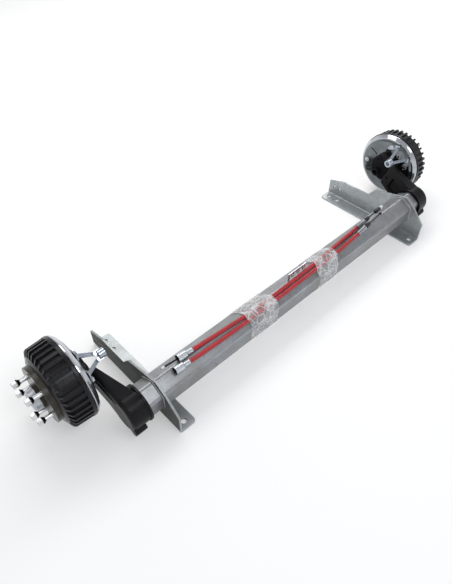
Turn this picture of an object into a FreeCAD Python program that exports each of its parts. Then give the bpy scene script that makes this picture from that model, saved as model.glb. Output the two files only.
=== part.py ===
import FreeCAD, Part
import math
import os
from types import SimpleNamespace

import Sketcher
from FreeCAD import Placement, Rotation, Vector

# Trailer axle with rubber suspension, lying upside down on its chassis flanges.
# X runs along the axle, Y to the rear, Z up from the chassis face of the flanges.
# The origin is the middle of the rectangle of chassis bolt holes.
# Every piece of a wheel station is made at the right (+X) and mirrored to the left.

SIZES = (
    ("tube_flats", 84.0, "hexagonal tube, across flats"),
    ("tube_wall", 5.0, "tube wall"),
    ("tube_corner", 13.0, "outside corner radius of the tube"),
    ("tube_half", 590.0, "middle of the axle to the tube's end"),
    ("tube_y", -102.4, "tube axis from the bolt rectangle's middle"),
    ("tube_z", 84.2, "tube axis above the chassis face"),
    ("web_inset", 40.0, "tube's end from the outside face of a bracket's web"),
    ("plate", 6.0, "bracket plate thickness"),
    ("flange_width", 53.0, "bracket flange width"),
    ("bracket_length", 400.0, "bracket length"),
    ("flange_corner", 9.0, "flange corner radius"),
    ("web_rear", 59.0, "web height at the rear end"),
    ("web_low", 79.0, "web height of the rear part"),
    ("web_taper", 67.0, "length over which the rear end rises"),
    ("web_step", 112.0, "web height after the step"),
    ("step_foot_y", 30.8, "foot of the step"),
    ("step_head_y", 3.4, "head of the step"),
    ("web_peak", 141.7, "highest point of the web"),
    ("peak_y", -119.7, "highest point's place"),
    ("web_front", 67.0, "web height at the front end"),
    ("nose_y", -150.8, "corner between the peak and the front end"),
    ("nose_z", 118.8, "height of that corner"),
    ("bolt_inset", 27.0, "chassis holes from the web's outside face"),
    ("bolt_pitch", 360.0, "front to rear pitch of the chassis holes"),
    ("bolt_second", 40.0, "second rear hole from the first"),
    ("bolt_hole", 16.0, "chassis hole diameter"),
    ("web_hole", 9.0, "web hole diameter"),
    ("web_hole_y", 177.2, "first web hole"),
    ("web_hole_z", 39.7, "height of the web holes"),
    ("web_hole_pitch", 24.2, "pitch of the web holes"),
    ("arm_length", 160.0, "tube axis to hub axis"),
    ("arm_angle", 18.6, "arm above the horizontal, unloaded"),
    ("arm_gap", 0.5, "running gap between tube end and arm"),
    ("lip_radius", 53.0, "lip round the tube's end"),
    ("lip_depth", 6.5, "lip thickness"),
    ("boss_radius", 50.0, "arm round the tube axis"),
    ("boss_outer_x", 58.0, "outside face of the arm at the tube axis, beyond the tube's end"),
    ("lever_half", 46.0, "half the width of the lever"),
    ("lever_round", 11.0, "rounding along the lever's outside edges"),
    ("lever_inner_x", 51.0, "highest inside face of the lever, beyond the tube's end"),
    ("hub_disc_radius", 51.0, "arm's hub flange"),
    ("hub_disc_depth", 17.0, "hub flange thickness"),
    ("lug_reach", 64.0, "stop lug from the tube axis"),
    ("lug_width", 34.0, "stop lug along the axle"),
    ("recess_depth", 6.0, "recess in the lever's inside face"),
    ("cord_radius", 11.0, "rubber cord radius"),
    ("cord_length", 270.0, "rubber cord length"),
    ("cord_inset", 18.0, "cords from the tube's end"),
    ("bar_corner", 31.0, "blunted corners of the inner bar from its axis"),
    ("bar_depth", 46.0, "inner bar inside the arm"),
    ("plate_x", 78.0, "backplate's face on the arm, beyond the tube's end"),
    ("sheet", 2.5, "backplate sheet thickness"),
    ("rim_radius", 115.2, "backplate rim radius"),
    ("rim_x", 93.0, "backplate rim, beyond the tube's end"),
    ("screw_circle", 37.6, "circle of the four backplate screws"),
    ("screw_radius", 4.0, "backplate screw shank radius"),
    ("drum_bore", 100.0, "braking surface radius"),
    ("drum_lip", 117.0, "drum radius at the open edge"),
    ("drum_lip_x", 98.0, "open edge of the drum, beyond the tube's end"),
    ("lip_band", 8.0, "plain band at the open edge"),
    ("fin_top", 116.0, "fin radius next to the lip"),
    ("fin_end", 113.5, "fin radius at the shoulder"),
    ("fin_height", 6.5, "fin height"),
    ("fin_count", 36, "number of fins"),
    ("fin_gap", 13.4, "slot between two fins"),
    ("shoulder_x", 152.0, "shoulder of the drum, beyond the tube's end"),
    ("cone_end_x", 167.0, "end of the sloping front, beyond the tube's end"),
    ("cone_end", 86.0, "radius there"),
    ("face_radius", 79.0, "wheel mounting face radius"),
    ("face_x", 181.0, "wheel mounting face, beyond the tube's end"),
    ("spigot_radius", 33.0, "wheel centring spigot radius"),
    ("spigot_length", 8.0, "spigot length"),
    ("wheel_pcd", 112.0, "wheel bolt circle"),
    ("wheel_bolt", 12.0, "wheel bolt thread diameter"),
    ("wheel_bolt_angle", 53.0, "first wheel bolt from the +Y direction"),
    ("bolt_stand", 22.0, "bolt seat ahead of the mounting face"),
    ("bolt_engage", 16.0, "bolt length in the hub"),
    ("bearing_x", 114.0, "inboard face of the hub bearing, beyond the tube's end"),
    ("bearing_width", 37.0, "hub bearing width"),
    ("bearing_outer", 32.0, "hub bearing outside radius"),
    ("bearing_inner", 17.0, "hub bearing bore radius"),
    ("bearing_split", 24.5, "middle of the two bearing rings"),
    ("running_gap", 0.3, "clearance between turning pieces"),
    ("barrel_radius", 45.0, "hub barrel radius"),
    ("journal", 22.0, "stub axle radius in the arm"),
    ("thread_radius", 12.0, "stub axle thread radius"),
    ("cap_radius", 30.0, "grease cap radius"),
    ("cap_length", 20.0, "grease cap ahead of the spigot"),
    ("bracket_angle", 124.0, "cable bracket from the +Y direction"),
    ("socket_radius_at", 67.0, "cable socket from the hub axis"),
    ("socket_x", 11.0, "mouth of the cable socket, beyond the tube's end"),
    ("socket_length", 17.0, "cable socket length"),
    ("socket_outer", 12.7, "cable socket outside radius"),
    ("socket_bore", 7.0, "cable socket bore radius"),
    ("foot_spread", 28.0, "feet either side of the socket, angle"),
    ("foot_radius_at", 85.0, "foot screws from the hub axis"),
    ("leg_width", 10.0, "strip width of a leg"),
    ("leg_depth", 6.0, "depth of a leg across its folds"),
    ("leg_fold", 2.5, "folded edge of a leg"),
    ("leg_end_radius", 93.0, "legs' ends from the hub axis"),
    ("leg_end_spread", 16.5, "legs' ends either side of the socket, angle"),
    ("foot_depth", 3.0, "foot thickness"),
    ("heel_radius", 5.5, "round heel of a brake shoe"),
    ("heel_spread", 12.5, "heels either side of the anchor, angle"),
    ("heel_at", 82.0, "heels from the hub axis"),
    ("lining", 98.8, "brake lining radius at rest"),
    ("shoe_table", 94.0, "shoe table outside radius"),
    ("shoe_width", 46.0, "shoe width"),
    ("shoe_inner", 72.0, "inside radius of the shoe web"),
    ("shoe_x", 125.0, "middle plane of the shoes, beyond the tube's end"),
    ("pin_radius", 4.0, "pin of the expander lever"),
    ("pin_gap", 0.05, "running clearance on that pin"),
    ("spring_offset", 51.0, "shoe springs from the hub axis"),
    ("cable_radius", 6.0, "cable casing radius"),
    ("bell_radius", 11.5, "bell ferrule radius"),
    ("bell_length", 27.0, "bell ferrule length"),
    ("sleeve_radius", 7.5, "far sleeve radius"),
    ("sleeve_length", 32.0, "far sleeve length"),
    ("gaiter_length", 27.0, "rubber gaiter length"),
    ("wire_radius", 2.5, "pull rod radius"),
    ("film", 0.8, "film thickness, several turns"),
)

doc = FreeCAD.newDocument("trailer_axle")
sheet = doc.addObject("Spreadsheet::Sheet", "sizes")
for row, (alias, value, note) in enumerate(SIZES, 1):
    sheet.set(f"A{row}", note)
    sheet.set(f"B{row}", str(value))
    sheet.setAlias(f"B{row}", alias)
doc.recompute()


class Size:
    """A size with the formula that ties it to the sheet."""

    def __init__(self, value, formula):
        self.value = value
        self.formula = formula

    def __add__(self, other):
        other = as_size(other)
        return Size(self.value + other.value, f"({self.formula} + {other.formula})")

    def __sub__(self, other):
        other = as_size(other)
        return Size(self.value - other.value, f"({self.formula} - {other.formula})")

    def __mul__(self, other):
        other = as_size(other)
        return Size(self.value * other.value, f"({self.formula} * {other.formula})")

    def __truediv__(self, other):
        other = as_size(other)
        return Size(self.value / other.value, f"({self.formula} / {other.formula})")

    def __radd__(self, other):
        return as_size(other) + self

    def __rsub__(self, other):
        return as_size(other) - self

    def __rmul__(self, other):
        return as_size(other) * self

    def __neg__(self):
        return as_size(0) - self


def as_size(number):
    if isinstance(number, Size):
        return number
    return Size(float(number), f"({float(number)})")


def cosine(angle):
    angle = as_size(angle)
    return Size(math.cos(math.radians(angle.value)), f"cos({angle.formula} * 1 deg)")


def sine(angle):
    angle = as_size(angle)
    return Size(math.sin(math.radians(angle.value)), f"sin({angle.formula} * 1 deg)")


def sheet_size(alias):
    return Size(float(sheet.get(alias)), f"sizes.{alias}")


s = SimpleNamespace(**{alias: sheet_size(alias) for alias, value, note in SIZES})
s.hub_y = s.tube_y + s.arm_length * cosine(s.arm_angle)
s.hub_z = s.tube_z + s.arm_length * sine(s.arm_angle)
s.tube_apothem = s.tube_flats / 2
s.inner_apothem = s.tube_apothem - s.tube_wall
s.bar_flat = (s.inner_apothem - s.cord_radius) / cosine(30) - s.cord_radius
s.arm_x = s.tube_half + s.arm_gap
s.web_x = s.tube_half - s.web_inset

# Places out of the tube's end move with it
for alias in ("boss_outer_x", "lever_inner_x", "plate_x", "rim_x", "drum_lip_x", "shoulder_x", "cone_end_x",
              "face_x", "bearing_x", "socket_x", "shoe_x"):
    setattr(s, alias, s.tube_half + getattr(s, alias))
s.head_x = s.plate_x - s.hub_disc_depth

HUB = (0, s.hub_y, s.hub_z)
TUBE = (0, s.tube_y, s.tube_z)


def bind(obj, name, size):
    size = as_size(size)
    if "sizes." in size.formula:
        obj.setExpression(name, size.formula)
    else:
        setattr(obj, name, size.value)


def place(obj, base, angle=0):
    """Put an object at a point and turn it about X, with both tied to the sheet."""
    base = [as_size(part) for part in base]
    angle = as_size(angle)
    obj.Placement = Placement(Vector(*[part.value for part in base]), Rotation(Vector(1, 0, 0), angle.value))
    for axis, part in zip("xyz", base):
        if "sizes." in part.formula:
            obj.setExpression(f"Placement.Base.{axis}", part.formula)
    if "sizes." in angle.formula:
        obj.setExpression("Placement.Rotation.Angle", angle.formula)


def new_body(name, base=(0, 0, 0), angle=0):
    body = doc.addObject("PartDesign::Body", name)
    body.Label = name
    place(body, base, angle)
    return body


def tie(sketch, kind, geometry, point, size):
    size = as_size(size)
    index = sketch.addConstraint(Sketcher.Constraint(kind, -1, 1, geometry, point, size.value))
    if "sizes." in size.formula:
        sketch.setExpression(f"Constraints[{index}]", size.formula)


def add_outline(sketch, points):
    """A closed outline of straight lines, each corner tied to its two sizes."""
    corners = [Vector(as_size(u).value, as_size(v).value, 0) for u, v in points]
    first = sketch.GeometryCount
    count = len(corners)
    for start, end in zip(corners, corners[1:] + corners[:1]):
        sketch.addGeometry(Part.LineSegment(start, end), False)
    for i in range(count):
        joint = Sketcher.Constraint("Coincident", first + i, 2, first + (i + 1) % count, 1)
        sketch.addConstraint(joint)
    for i, (u, v) in enumerate(points):
        tie(sketch, "DistanceX", first + i, 1, u)
        tie(sketch, "DistanceY", first + i, 1, v)


def add_circle(sketch, u, v, radius):
    u, v, radius = as_size(u), as_size(v), as_size(radius)
    circle = Part.Circle(Vector(u.value, v.value, 0), Vector(0, 0, 1), radius.value)
    index = sketch.addGeometry(circle, False)
    tie(sketch, "DistanceX", index, 3, u)
    tie(sketch, "DistanceY", index, 3, v)
    ring = sketch.addConstraint(Sketcher.Constraint("Radius", index, radius.value))
    if "sizes." in radius.formula:
        sketch.setExpression(f"Constraints[{ring}]", radius.formula)


def sketch_on(body, role, offset=0):
    """An empty sketch on one of the body's own origin planes, moved along its normal."""
    plane = next(item for item in body.Origin.OriginFeatures if item.Role == role)
    sketch = body.newObject("Sketcher::SketchObject", f"{body.Name}_sketch")
    sketch.AttachmentSupport = [(plane, "")]
    sketch.MapMode = "FlatFace"
    offset = as_size(offset)
    sketch.AttachmentOffset = Placement(Vector(0, 0, offset.value), Rotation())
    if "sizes." in offset.formula:
        sketch.setExpression("AttachmentOffset.Base.z", offset.formula)
    return sketch


def feature(body, kind, sketch, **sizes):
    item = body.newObject(f"PartDesign::{kind}", f"{body.Name}_{kind.lower()}")
    item.Profile = sketch
    for name, size in sizes.items():
        if isinstance(size, (bool, int, str)):
            setattr(item, name, size)
        else:
            bind(item, name, size)
    body.Tip = item
    return item


def pad_outline(body, points, start, length):
    """Pad an outline in the YZ plane from one X to another."""
    sketch = sketch_on(body, "YZ_Plane", start)
    add_outline(sketch, points)
    return feature(body, "Pad", sketch, Length=as_size(length))


def pad_disc(body, u, v, radius, start, length):
    sketch = sketch_on(body, "YZ_Plane", start)
    add_circle(sketch, u, v, radius)
    return feature(body, "Pad", sketch, Length=as_size(length))


def turn(body, points, kind="Revolution"):
    """Turn an outline of (x, radius) points about the body's X axis."""
    sketch = sketch_on(body, "XY_Plane")
    add_outline(sketch, points)
    item = feature(body, kind, sketch)
    item.ReferenceAxis = (sketch, ["H_Axis"])
    item.Angle = 360
    return item


def bore(body, holes, start, length):
    """Round holes along +X, given as (y, z, radius), from one X over a length."""
    sketch = sketch_on(body, "YZ_Plane", start)
    for u, v, radius in holes:
        add_circle(sketch, u, v, radius)
    return feature(body, "Pocket", sketch, Length=as_size(length), Reversed=True)


def long_edges(shape, axis, keep):
    """Names of straight edges along an axis whose middle passes a test."""
    names = []
    for number, edge in enumerate(shape.Edges, 1):
        if edge.Curve.TypeId != "Part::GeomLine":
            continue
        direction = edge.tangentAt(edge.FirstParameter)
        if abs(abs(direction.dot(axis)) - 1) < 1e-6 and keep(edge.CenterOfMass):
            names.append(f"Edge{number}")
    return names


def fillet(body, edges, radius):
    base = body.Tip
    item = body.newObject("PartDesign::Fillet", f"{body.Name}_fillet")
    item.Base = (base, edges)
    bind(item, "Radius", radius)
    body.Tip = item
    return item


def on_circle(radius, angle):
    return (radius * cosine(angle), radius * sine(angle))


def hexagon(apothem, first=30):
    """Corners of a hexagon of a given apothem, centred on the body's axis."""
    return [on_circle(apothem / cosine(30), first + 60 * i) for i in range(6)]


def solid_feature(name, shape):
    item = doc.addObject("Part::Feature", name)
    item.Label = name
    item.Shape = shape
    return item


def mirrored(source, name):
    """The left-hand twin of a right-hand piece."""
    twin = doc.addObject("Part::Mirroring", name)
    twin.Label = name
    twin.Source = source
    twin.Base = (0, 0, 0)
    twin.Normal = (1, 0, 0)
    return twin


X_AXIS = Vector(1, 0, 0)
Y_AXIS = Vector(0, 1, 0)
Z_AXIS = Vector(0, 0, 1)


# Hexagonal axle tube

def make_axle_tube():
    body = new_body("axle_tube", TUBE)
    sketch = sketch_on(body, "YZ_Plane")
    add_outline(sketch, hexagon(s.tube_apothem))
    feature(body, "Pad", sketch, Length=2 * s.tube_half, Midplane=True)
    doc.recompute()
    fillet(body, long_edges(body.Shape, X_AXIS, lambda middle: True), s.tube_corner)
    inner = sketch_on(body, "YZ_Plane")
    add_outline(inner, hexagon(s.inner_apothem))
    feature(body, "Pocket", inner, Type="ThroughAll", Midplane=True)
    doc.recompute()
    inside = (s.tube_apothem - s.tube_wall / 2).value

    def is_inner(middle):
        return math.hypot(middle.y - s.tube_y.value, middle.z - s.tube_z.value) < inside / math.cos(math.pi / 6)

    corners = long_edges(body.Shape, X_AXIS, lambda p: is_inner(p) and is_sharp(body.Shape, p))
    fillet(body, corners, s.tube_corner - s.tube_wall)
    return body


def is_sharp(shape, middle):
    """True where the inner hexagon still has its sharp corner."""
    reach = math.hypot(middle.y - s.tube_y.value, middle.z - s.tube_z.value)
    return abs(reach - s.inner_apothem.value / math.cos(math.pi / 6)) < 0.01


# Chassis bracket: folded L plate, web outside, flange inside

def make_bracket():
    body = new_body("bracket_right")
    inner_x = s.web_x - s.plate
    edge_x = s.web_x - s.flange_width
    section = sketch_on(body, "XZ_Plane")
    add_outline(section, [(s.web_x, 0), (s.web_x, s.web_peak), (inner_x, s.web_peak),
                          (inner_x, s.plate), (edge_x, s.plate), (edge_x, 0)])
    feature(body, "Pad", section, Length=s.bracket_length, Midplane=True)
    doc.recompute()
    outside = long_edges(body.Shape, Y_AXIS, lambda p: p.x > s.web_x.value - 0.01 and p.z < 0.01)
    fillet(body, outside, s.plate * 1.5)
    doc.recompute()
    corner_x, corner_z = inner_x.value, s.plate.value
    inside = long_edges(body.Shape, Y_AXIS, lambda p: abs(p.x - corner_x) < 0.01 and abs(p.z - corner_z) < 0.01)
    fillet(body, inside, s.plate * 0.5)
    half = s.bracket_length / 2
    above = s.web_peak + 20
    cut = sketch_on(body, "YZ_Plane", edge_x - 1)
    add_outline(cut, [(half + 5, s.web_rear), (half, s.web_rear), (half - s.web_taper, s.web_low),
                      (s.step_foot_y, s.web_low), (s.step_head_y, s.web_step), (s.peak_y, s.web_peak),
                      (s.nose_y, s.nose_z), (-half, s.web_front), (-half - 5, s.web_front),
                      (-half - 5, above), (half + 5, above)])
    feature(body, "Pocket", cut, Length=s.flange_width + 2, Reversed=True)
    doc.recompute()
    corners = long_edges(body.Shape, Z_AXIS, lambda p: p.x < edge_x.value + 0.01)
    fillet(body, corners, s.flange_corner)
    hole_x = s.web_x - s.bolt_inset
    first_y = s.bolt_pitch / 2
    holes = sketch_on(body, "XY_Plane")
    for y in (-first_y, first_y, first_y - s.bolt_second):
        add_circle(holes, hole_x, y, s.bolt_hole / 2)
    feature(body, "Pocket", holes, Length=s.plate + 1, Reversed=True)
    web_holes = [(s.web_hole_y - s.web_hole_pitch * i, s.web_hole_z, s.web_hole / 2) for i in (0, 1)]
    bore(body, web_holes, inner_x - 1, s.plate + 2)
    opening = sketch_on(body, "YZ_Plane", inner_x - 1)
    add_outline(opening, [(s.tube_y + y, s.tube_z + z) for y, z in hexagon(s.tube_apothem)])
    feature(body, "Pocket", opening, Length=s.plate + 2, Reversed=True)
    doc.recompute()
    reach = s.tube_apothem.value / math.cos(math.pi / 6)
    middle_y, middle_z = s.tube_y.value, s.tube_z.value
    hole_corners = long_edges(
        body.Shape, X_AXIS,
        lambda p: abs(math.hypot(p.y - middle_y, p.z - middle_z) - reach) < 0.01)
    fillet(body, hole_corners, s.tube_corner)
    return body


# Rubber cords and inner bar

def make_rubber_cords():
    reach = (s.bar_flat + s.cord_radius).value
    start = (s.tube_half - s.cord_inset - s.cord_length).value
    cords = []
    for angle in (90, 210, 330):
        y = s.tube_y.value + reach * math.cos(math.radians(angle))
        z = s.tube_z.value + reach * math.sin(math.radians(angle))
        cords.append(Part.makeCylinder(s.cord_radius.value, s.cord_length.value, Vector(start, y, z), X_AXIS))
    return solid_feature("rubber_cords_right", Part.makeCompound(cords))


def bar_outline():
    """Six corners of the three-sided bar: flats on the cords, blunted corners between."""
    half = (s.bar_corner - s.bar_flat * cosine(60)) / sine(60)
    corners = []
    for angle in (90, 210, 330):
        for side in (-1, 1):
            y = s.bar_flat * cosine(angle) - side * half * sine(angle)
            z = s.bar_flat * sine(angle) + side * half * cosine(angle)
            corners.append((y, z))
    return corners


def make_torsion_bar():
    body = new_body("torsion_bar_right", TUBE)
    start = s.tube_half - s.cord_inset - s.cord_length - 10
    pad_outline(body, bar_outline(), start, s.arm_x + s.bar_depth - start)
    return body


# Swing arm

def make_swing_arm():
    """Lever between tube axis and hub axis, in a frame whose Y runs along the arm."""
    boss_x = s.arm_x + s.lip_depth
    outer_end_x = s.plate_x - 11

    front = new_body("arm_front_view", TUBE, s.arm_angle)
    pad_disc(front, 0, 0, s.boss_radius, boss_x, s.plate_x - boss_x)
    pad_outline(front, [(0, -s.lever_half), (s.arm_length, -s.lever_half), (s.arm_length, s.lever_half),
                        (0, s.lever_half)], boss_x, s.plate_x - boss_x)
    pad_disc(front, s.arm_length, 0, s.hub_disc_radius, boss_x, s.plate_x - boss_x)

    side = new_body("arm_side_view", TUBE, s.arm_angle)
    sketch = sketch_on(side, "XY_Plane")
    reach = s.hub_disc_radius + 5
    add_outline(sketch, [(boss_x, -s.boss_radius - 5), (boss_x, s.boss_radius * 0.24),
                         (s.lever_inner_x, s.arm_length - 20), (s.lever_inner_x, s.arm_length + reach),
                         (outer_end_x, s.arm_length + reach), (s.boss_outer_x, s.boss_radius),
                         (s.boss_outer_x, -s.boss_radius - 5)])
    feature(side, "Pad", sketch, Length=4 * s.boss_radius, Midplane=True)
    doc.recompute()
    lever = doc.addObject("Part::Common", "arm_lever")
    lever.Base = front
    lever.Tool = side
    doc.recompute()
    rounded = doc.addObject("Part::Fillet", "arm_rounded")
    rounded.Base = lever
    rounded.Edges = [(i, s.lever_round.value, s.lever_round.value) for i in outer_edges(lever.Shape)]
    doc.recompute()

    ends = new_body("arm_ends", TUBE, s.arm_angle)
    pad_disc(ends, 0, 0, s.lip_radius, s.arm_x, s.lip_depth)
    core = s.boss_radius - 8
    pad_disc(ends, 0, 0, core, s.arm_x, s.boss_outer_x - s.arm_x - 1)
    core_end = s.arm_length - 36
    pad_outline(ends, [(0, -core), (core_end, -core), (core_end, core), (0, core)],
                s.lever_inner_x, s.boss_outer_x - s.lever_inner_x - 1)
    pad_disc(ends, s.arm_length, 0, s.hub_disc_radius, s.head_x, s.hub_disc_depth)
    bosses = sketch_on(ends, "YZ_Plane", s.head_x - BOSS_STAND)
    for y, z in arm_screw_places():
        add_circle(bosses, y, z, s.screw_radius * 3)
    feature(ends, "Pad", bosses, Length=BOSS_STAND + s.hub_disc_depth / 2)
    lug = sketch_on(ends, "YZ_Plane", s.boss_outer_x - 2 - s.lug_width)
    lug_half = 14
    corners = [(s.boss_radius - 8, -lug_half), (s.lug_reach - 5, -lug_half * 0.8), (s.lug_reach, -lug_half * 0.35),
               (s.lug_reach, lug_half * 0.35), (s.lug_reach - 5, lug_half * 0.8), (s.boss_radius - 8, lug_half)]
    add_outline(lug, [(u * cosine(207) - v * sine(207), u * sine(207) + v * cosine(207)) for u, v in corners])
    feature(ends, "Pad", lug, Length=s.lug_width)

    head_space = new_body("arm_head_face", TUBE, s.arm_angle)
    sketch = sketch_on(head_space, "XY_Plane")
    beyond = s.arm_length + reach + 10
    foot_x = s.lever_inner_x - 1
    add_outline(sketch, [(foot_x, core_end), (s.lever_inner_x, core_end), (s.head_x, core_end + 12),
                         (s.head_x, beyond), (foot_x, beyond)])
    feature(head_space, "Pad", sketch, Length=4 * s.boss_radius, Midplane=True)
    lowered = doc.addObject("Part::Cut", "arm_lowered")
    lowered.Base = rounded
    lowered.Tool = head_space

    joined = doc.addObject("Part::MultiFuse", "arm_joined")
    joined.Shapes = [lowered, ends]
    joined.Refine = True

    tools = new_body("arm_bores", TUBE, s.arm_angle)
    straight = [(y * cosine(s.arm_angle) + z * sine(s.arm_angle), z * cosine(s.arm_angle) - y * sine(s.arm_angle))
                for y, z in bar_outline()]
    pad_outline(tools, straight, s.arm_x - 1, s.bar_depth + 1)
    arm_holes = new_body("arm_hub_bores", TUBE, s.arm_angle)
    pad_disc(arm_holes, s.arm_length, 0, s.journal, s.head_x + STUB_COVER, s.hub_disc_depth)
    screws = sketch_on(arm_holes, "YZ_Plane", s.head_x - s.hub_disc_depth)
    for y, z in arm_screw_places():
        add_circle(screws, y, z, s.screw_radius)
    feature(arm_holes, "Pad", screws, Length=s.hub_disc_depth * 3)
    seats = sketch_on(arm_holes, "YZ_Plane", s.head_x - s.hub_disc_depth)
    for y, z in arm_screw_places():
        add_circle(seats, y, z, s.screw_radius * SCREW_HEAD + SCREW_ROOM)
    feature(arm_holes, "Pad", seats, Length=s.hub_disc_depth + SCREW_SEAT)

    recess = new_body("arm_recess", TUBE, s.arm_angle)
    sketch = sketch_on(recess, "XY_Plane", -s.lever_half + 12)
    slope = (s.lever_inner_x - boss_x) / (s.arm_length - 20 - s.boss_radius * 0.24)
    near_y = s.boss_radius * 0.24 + 22
    far_y = s.arm_length - s.screw_circle - 20
    near_x = boss_x + slope * (near_y - s.boss_radius * 0.24)
    far_x = boss_x + slope * (far_y - s.boss_radius * 0.24)
    add_outline(sketch, [(boss_x, near_y), (near_x + s.recess_depth, near_y),
                         (far_x + s.recess_depth, far_y), (far_x - 20, far_y)])
    feature(recess, "Pad", sketch, Length=s.lever_half + 2)

    arm = doc.addObject("Part::Cut", "swing_arm_right")
    arm.Label = "swing_arm_right"
    cutter = doc.addObject("Part::MultiFuse", "arm_cutters")
    cutter.Shapes = [tools, arm_holes, recess]
    arm.Base = joined
    arm.Tool = cutter
    return arm


# Cast bosses round the backplate screws, and the seats of their round heads
BOSS_STAND = 2
SCREW_SEAT = 4
SCREW_HEAD = 2
SCREW_ROOM = 0.5
STUB_COVER = 4
SCREW_TURN = 25


def arm_screw_places():
    """The four backplate screws in the arm's frame."""
    places = []
    for i in range(4):
        along, across = on_circle(s.screw_circle, SCREW_TURN + 90 * i)
        places.append((s.arm_length + along, across))
    return places


def outer_edges(shape):
    """Edges between the arm's rim and its outside face."""
    picked = []
    limit = (s.boss_outer_x - 0.5).value
    for number, edge in enumerate(shape.Edges, 1):
        box = edge.BoundBox
        if box.XMin > limit and box.XMax < s.plate_x.value - 3:
            picked.append(number)
    return picked


# Stub axle, bearing, nut

def make_stub_axle():
    body = new_body("stub_axle_right", HUB)
    end_x = s.bearing_x + s.bearing_width
    inner_end = s.head_x + STUB_COVER
    turn(body, [(inner_end, 0), (inner_end, s.journal), (s.bearing_x - 12, s.journal),
                (s.bearing_x - 12, s.bearing_inner + 4), (s.bearing_x, s.bearing_inner + 4),
                (s.bearing_x, s.bearing_inner), (end_x, s.bearing_inner), (end_x, s.thread_radius),
                (end_x + 22, s.thread_radius), (end_x + 24, s.thread_radius - 2), (end_x + 24, 0)])
    return body


def make_bearing_inner():
    body = new_body("bearing_inner_right", HUB)
    turn(body, [(s.bearing_x, s.bearing_inner), (s.bearing_x, s.bearing_split - s.running_gap / 2),
                (s.bearing_x + s.bearing_width, s.bearing_split - s.running_gap / 2),
                (s.bearing_x + s.bearing_width, s.bearing_inner)])
    return body


def make_bearing_outer():
    body = new_body("bearing_outer_right", HUB)
    turn(body, [(s.bearing_x, s.bearing_split + s.running_gap / 2), (s.bearing_x, s.bearing_outer),
                (s.bearing_x + s.bearing_width, s.bearing_outer),
                (s.bearing_x + s.bearing_width, s.bearing_split + s.running_gap / 2)])
    return body


def make_axle_nut():
    body = new_body("axle_nut_right", HUB)
    start = s.bearing_x + s.bearing_width
    turn(body, [(start, s.thread_radius), (start, s.bearing_split - 1.5), (start + 3, s.bearing_split - 1.5),
                (start + 3, s.thread_radius)])
    sketch = sketch_on(body, "YZ_Plane", start + 3)
    add_outline(sketch, hexagon(s.thread_radius + 6))
    add_circle(sketch, 0, 0, s.thread_radius)
    feature(body, "Pad", sketch, Length=as_size(15))
    return body


def make_circlip():
    body = new_body("circlip_right", HUB)
    turn(body, [(s.bearing_x - 2, s.bearing_outer - 3), (s.bearing_x - 2, s.bearing_outer + 2),
                (s.bearing_x, s.bearing_outer + 2), (s.bearing_x, s.bearing_outer - 3)])
    doc.recompute()
    gap = sketch_on(body, "YZ_Plane", s.bearing_x - 3)
    add_outline(gap, [(-4, s.bearing_outer - 6), (4, s.bearing_outer - 6), (4, s.bearing_outer + 4),
                      (-4, s.bearing_outer + 4)])
    feature(body, "Pocket", gap, Length=as_size(4), Reversed=True)
    return body


# Backplate

def make_backplate():
    body = new_body("backplate_right", HUB)
    line = [(s.plate_x, s.journal + 1), (s.plate_x, s.rim_radius - 21), (s.plate_x + 5, s.rim_radius - 15),
            (s.plate_x + 5, s.rim_radius - 9), (s.rim_x - 4, s.rim_radius - 3), (s.rim_x, s.rim_radius)]
    turn(body, line + [(x + s.sheet, r) for x, r in reversed(line)])
    for angle in (28, 268, 328):
        add_rib(body, angle)
    holes = [(y, z, s.screw_radius) for y, z in foot_places()]
    holes += [(y, z, s.screw_radius) for y, z in screw_places()]
    holes.append((*on_circle(s.socket_radius_at, s.bracket_angle), s.socket_bore))
    holes += [(y, z, as_size(6)) for y, z in plug_places()]
    bore(body, holes, s.plate_x - 4, s.sheet + 10)
    return body


def add_rib(body, angle):
    """A pressed bead, standing out on the arm side."""
    sketch = sketch_on(body, "YZ_Plane", s.plate_x - 2.5)
    inner = s.hub_disc_radius + 5
    outer = s.rim_radius - 26
    corners = [(inner, -3), (inner + 3, -5), (outer - 3, -5), (outer, -3), (outer, 3), (outer - 3, 5),
               (inner + 3, 5), (inner, 3)]
    add_outline(sketch, [(u * cosine(angle) - v * sine(angle), u * sine(angle) + v * cosine(angle))
                         for u, v in [(as_size(a), as_size(b)) for a, b in corners]])
    feature(body, "Pad", sketch, Length=as_size(3))


def screw_places():
    return [on_circle(s.screw_circle, s.arm_angle + SCREW_TURN + 90 * i) for i in range(4)]


def plug_places():
    return [on_circle(s.hub_disc_radius + 10, 85), on_circle(s.rim_radius - 33, 357)]


def make_backplate_screws():
    """Round-headed socket screws through the arm and the backplate."""
    seat = (s.head_x + SCREW_SEAT).value
    radius = s.screw_radius.value
    sheet_x = (s.plate_x + s.sheet).value
    top = seat - SCREW_SEAT - BOSS_STAND
    shapes = []
    for y, z in screw_places():
        middle = Vector(0, s.hub_y.value + y.value, s.hub_z.value + z.value)
        head = Part.makeCylinder(radius * SCREW_HEAD, seat - top, middle + X_AXIS * top, X_AXIS)
        shank = Part.makeCylinder(radius, sheet_x + 6 - seat, middle + X_AXIS * seat, X_AXIS)
        nut = hexagon_prism(middle, radius * 1.6, sheet_x, sheet_x + 5)
        socket = hexagon_prism(middle, radius, top, top + radius)
        shapes.append(head.fuse([shank, nut]).cut(socket).removeSplitter())
    return solid_feature("backplate_screws_right", Part.makeCompound(shapes))


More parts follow.
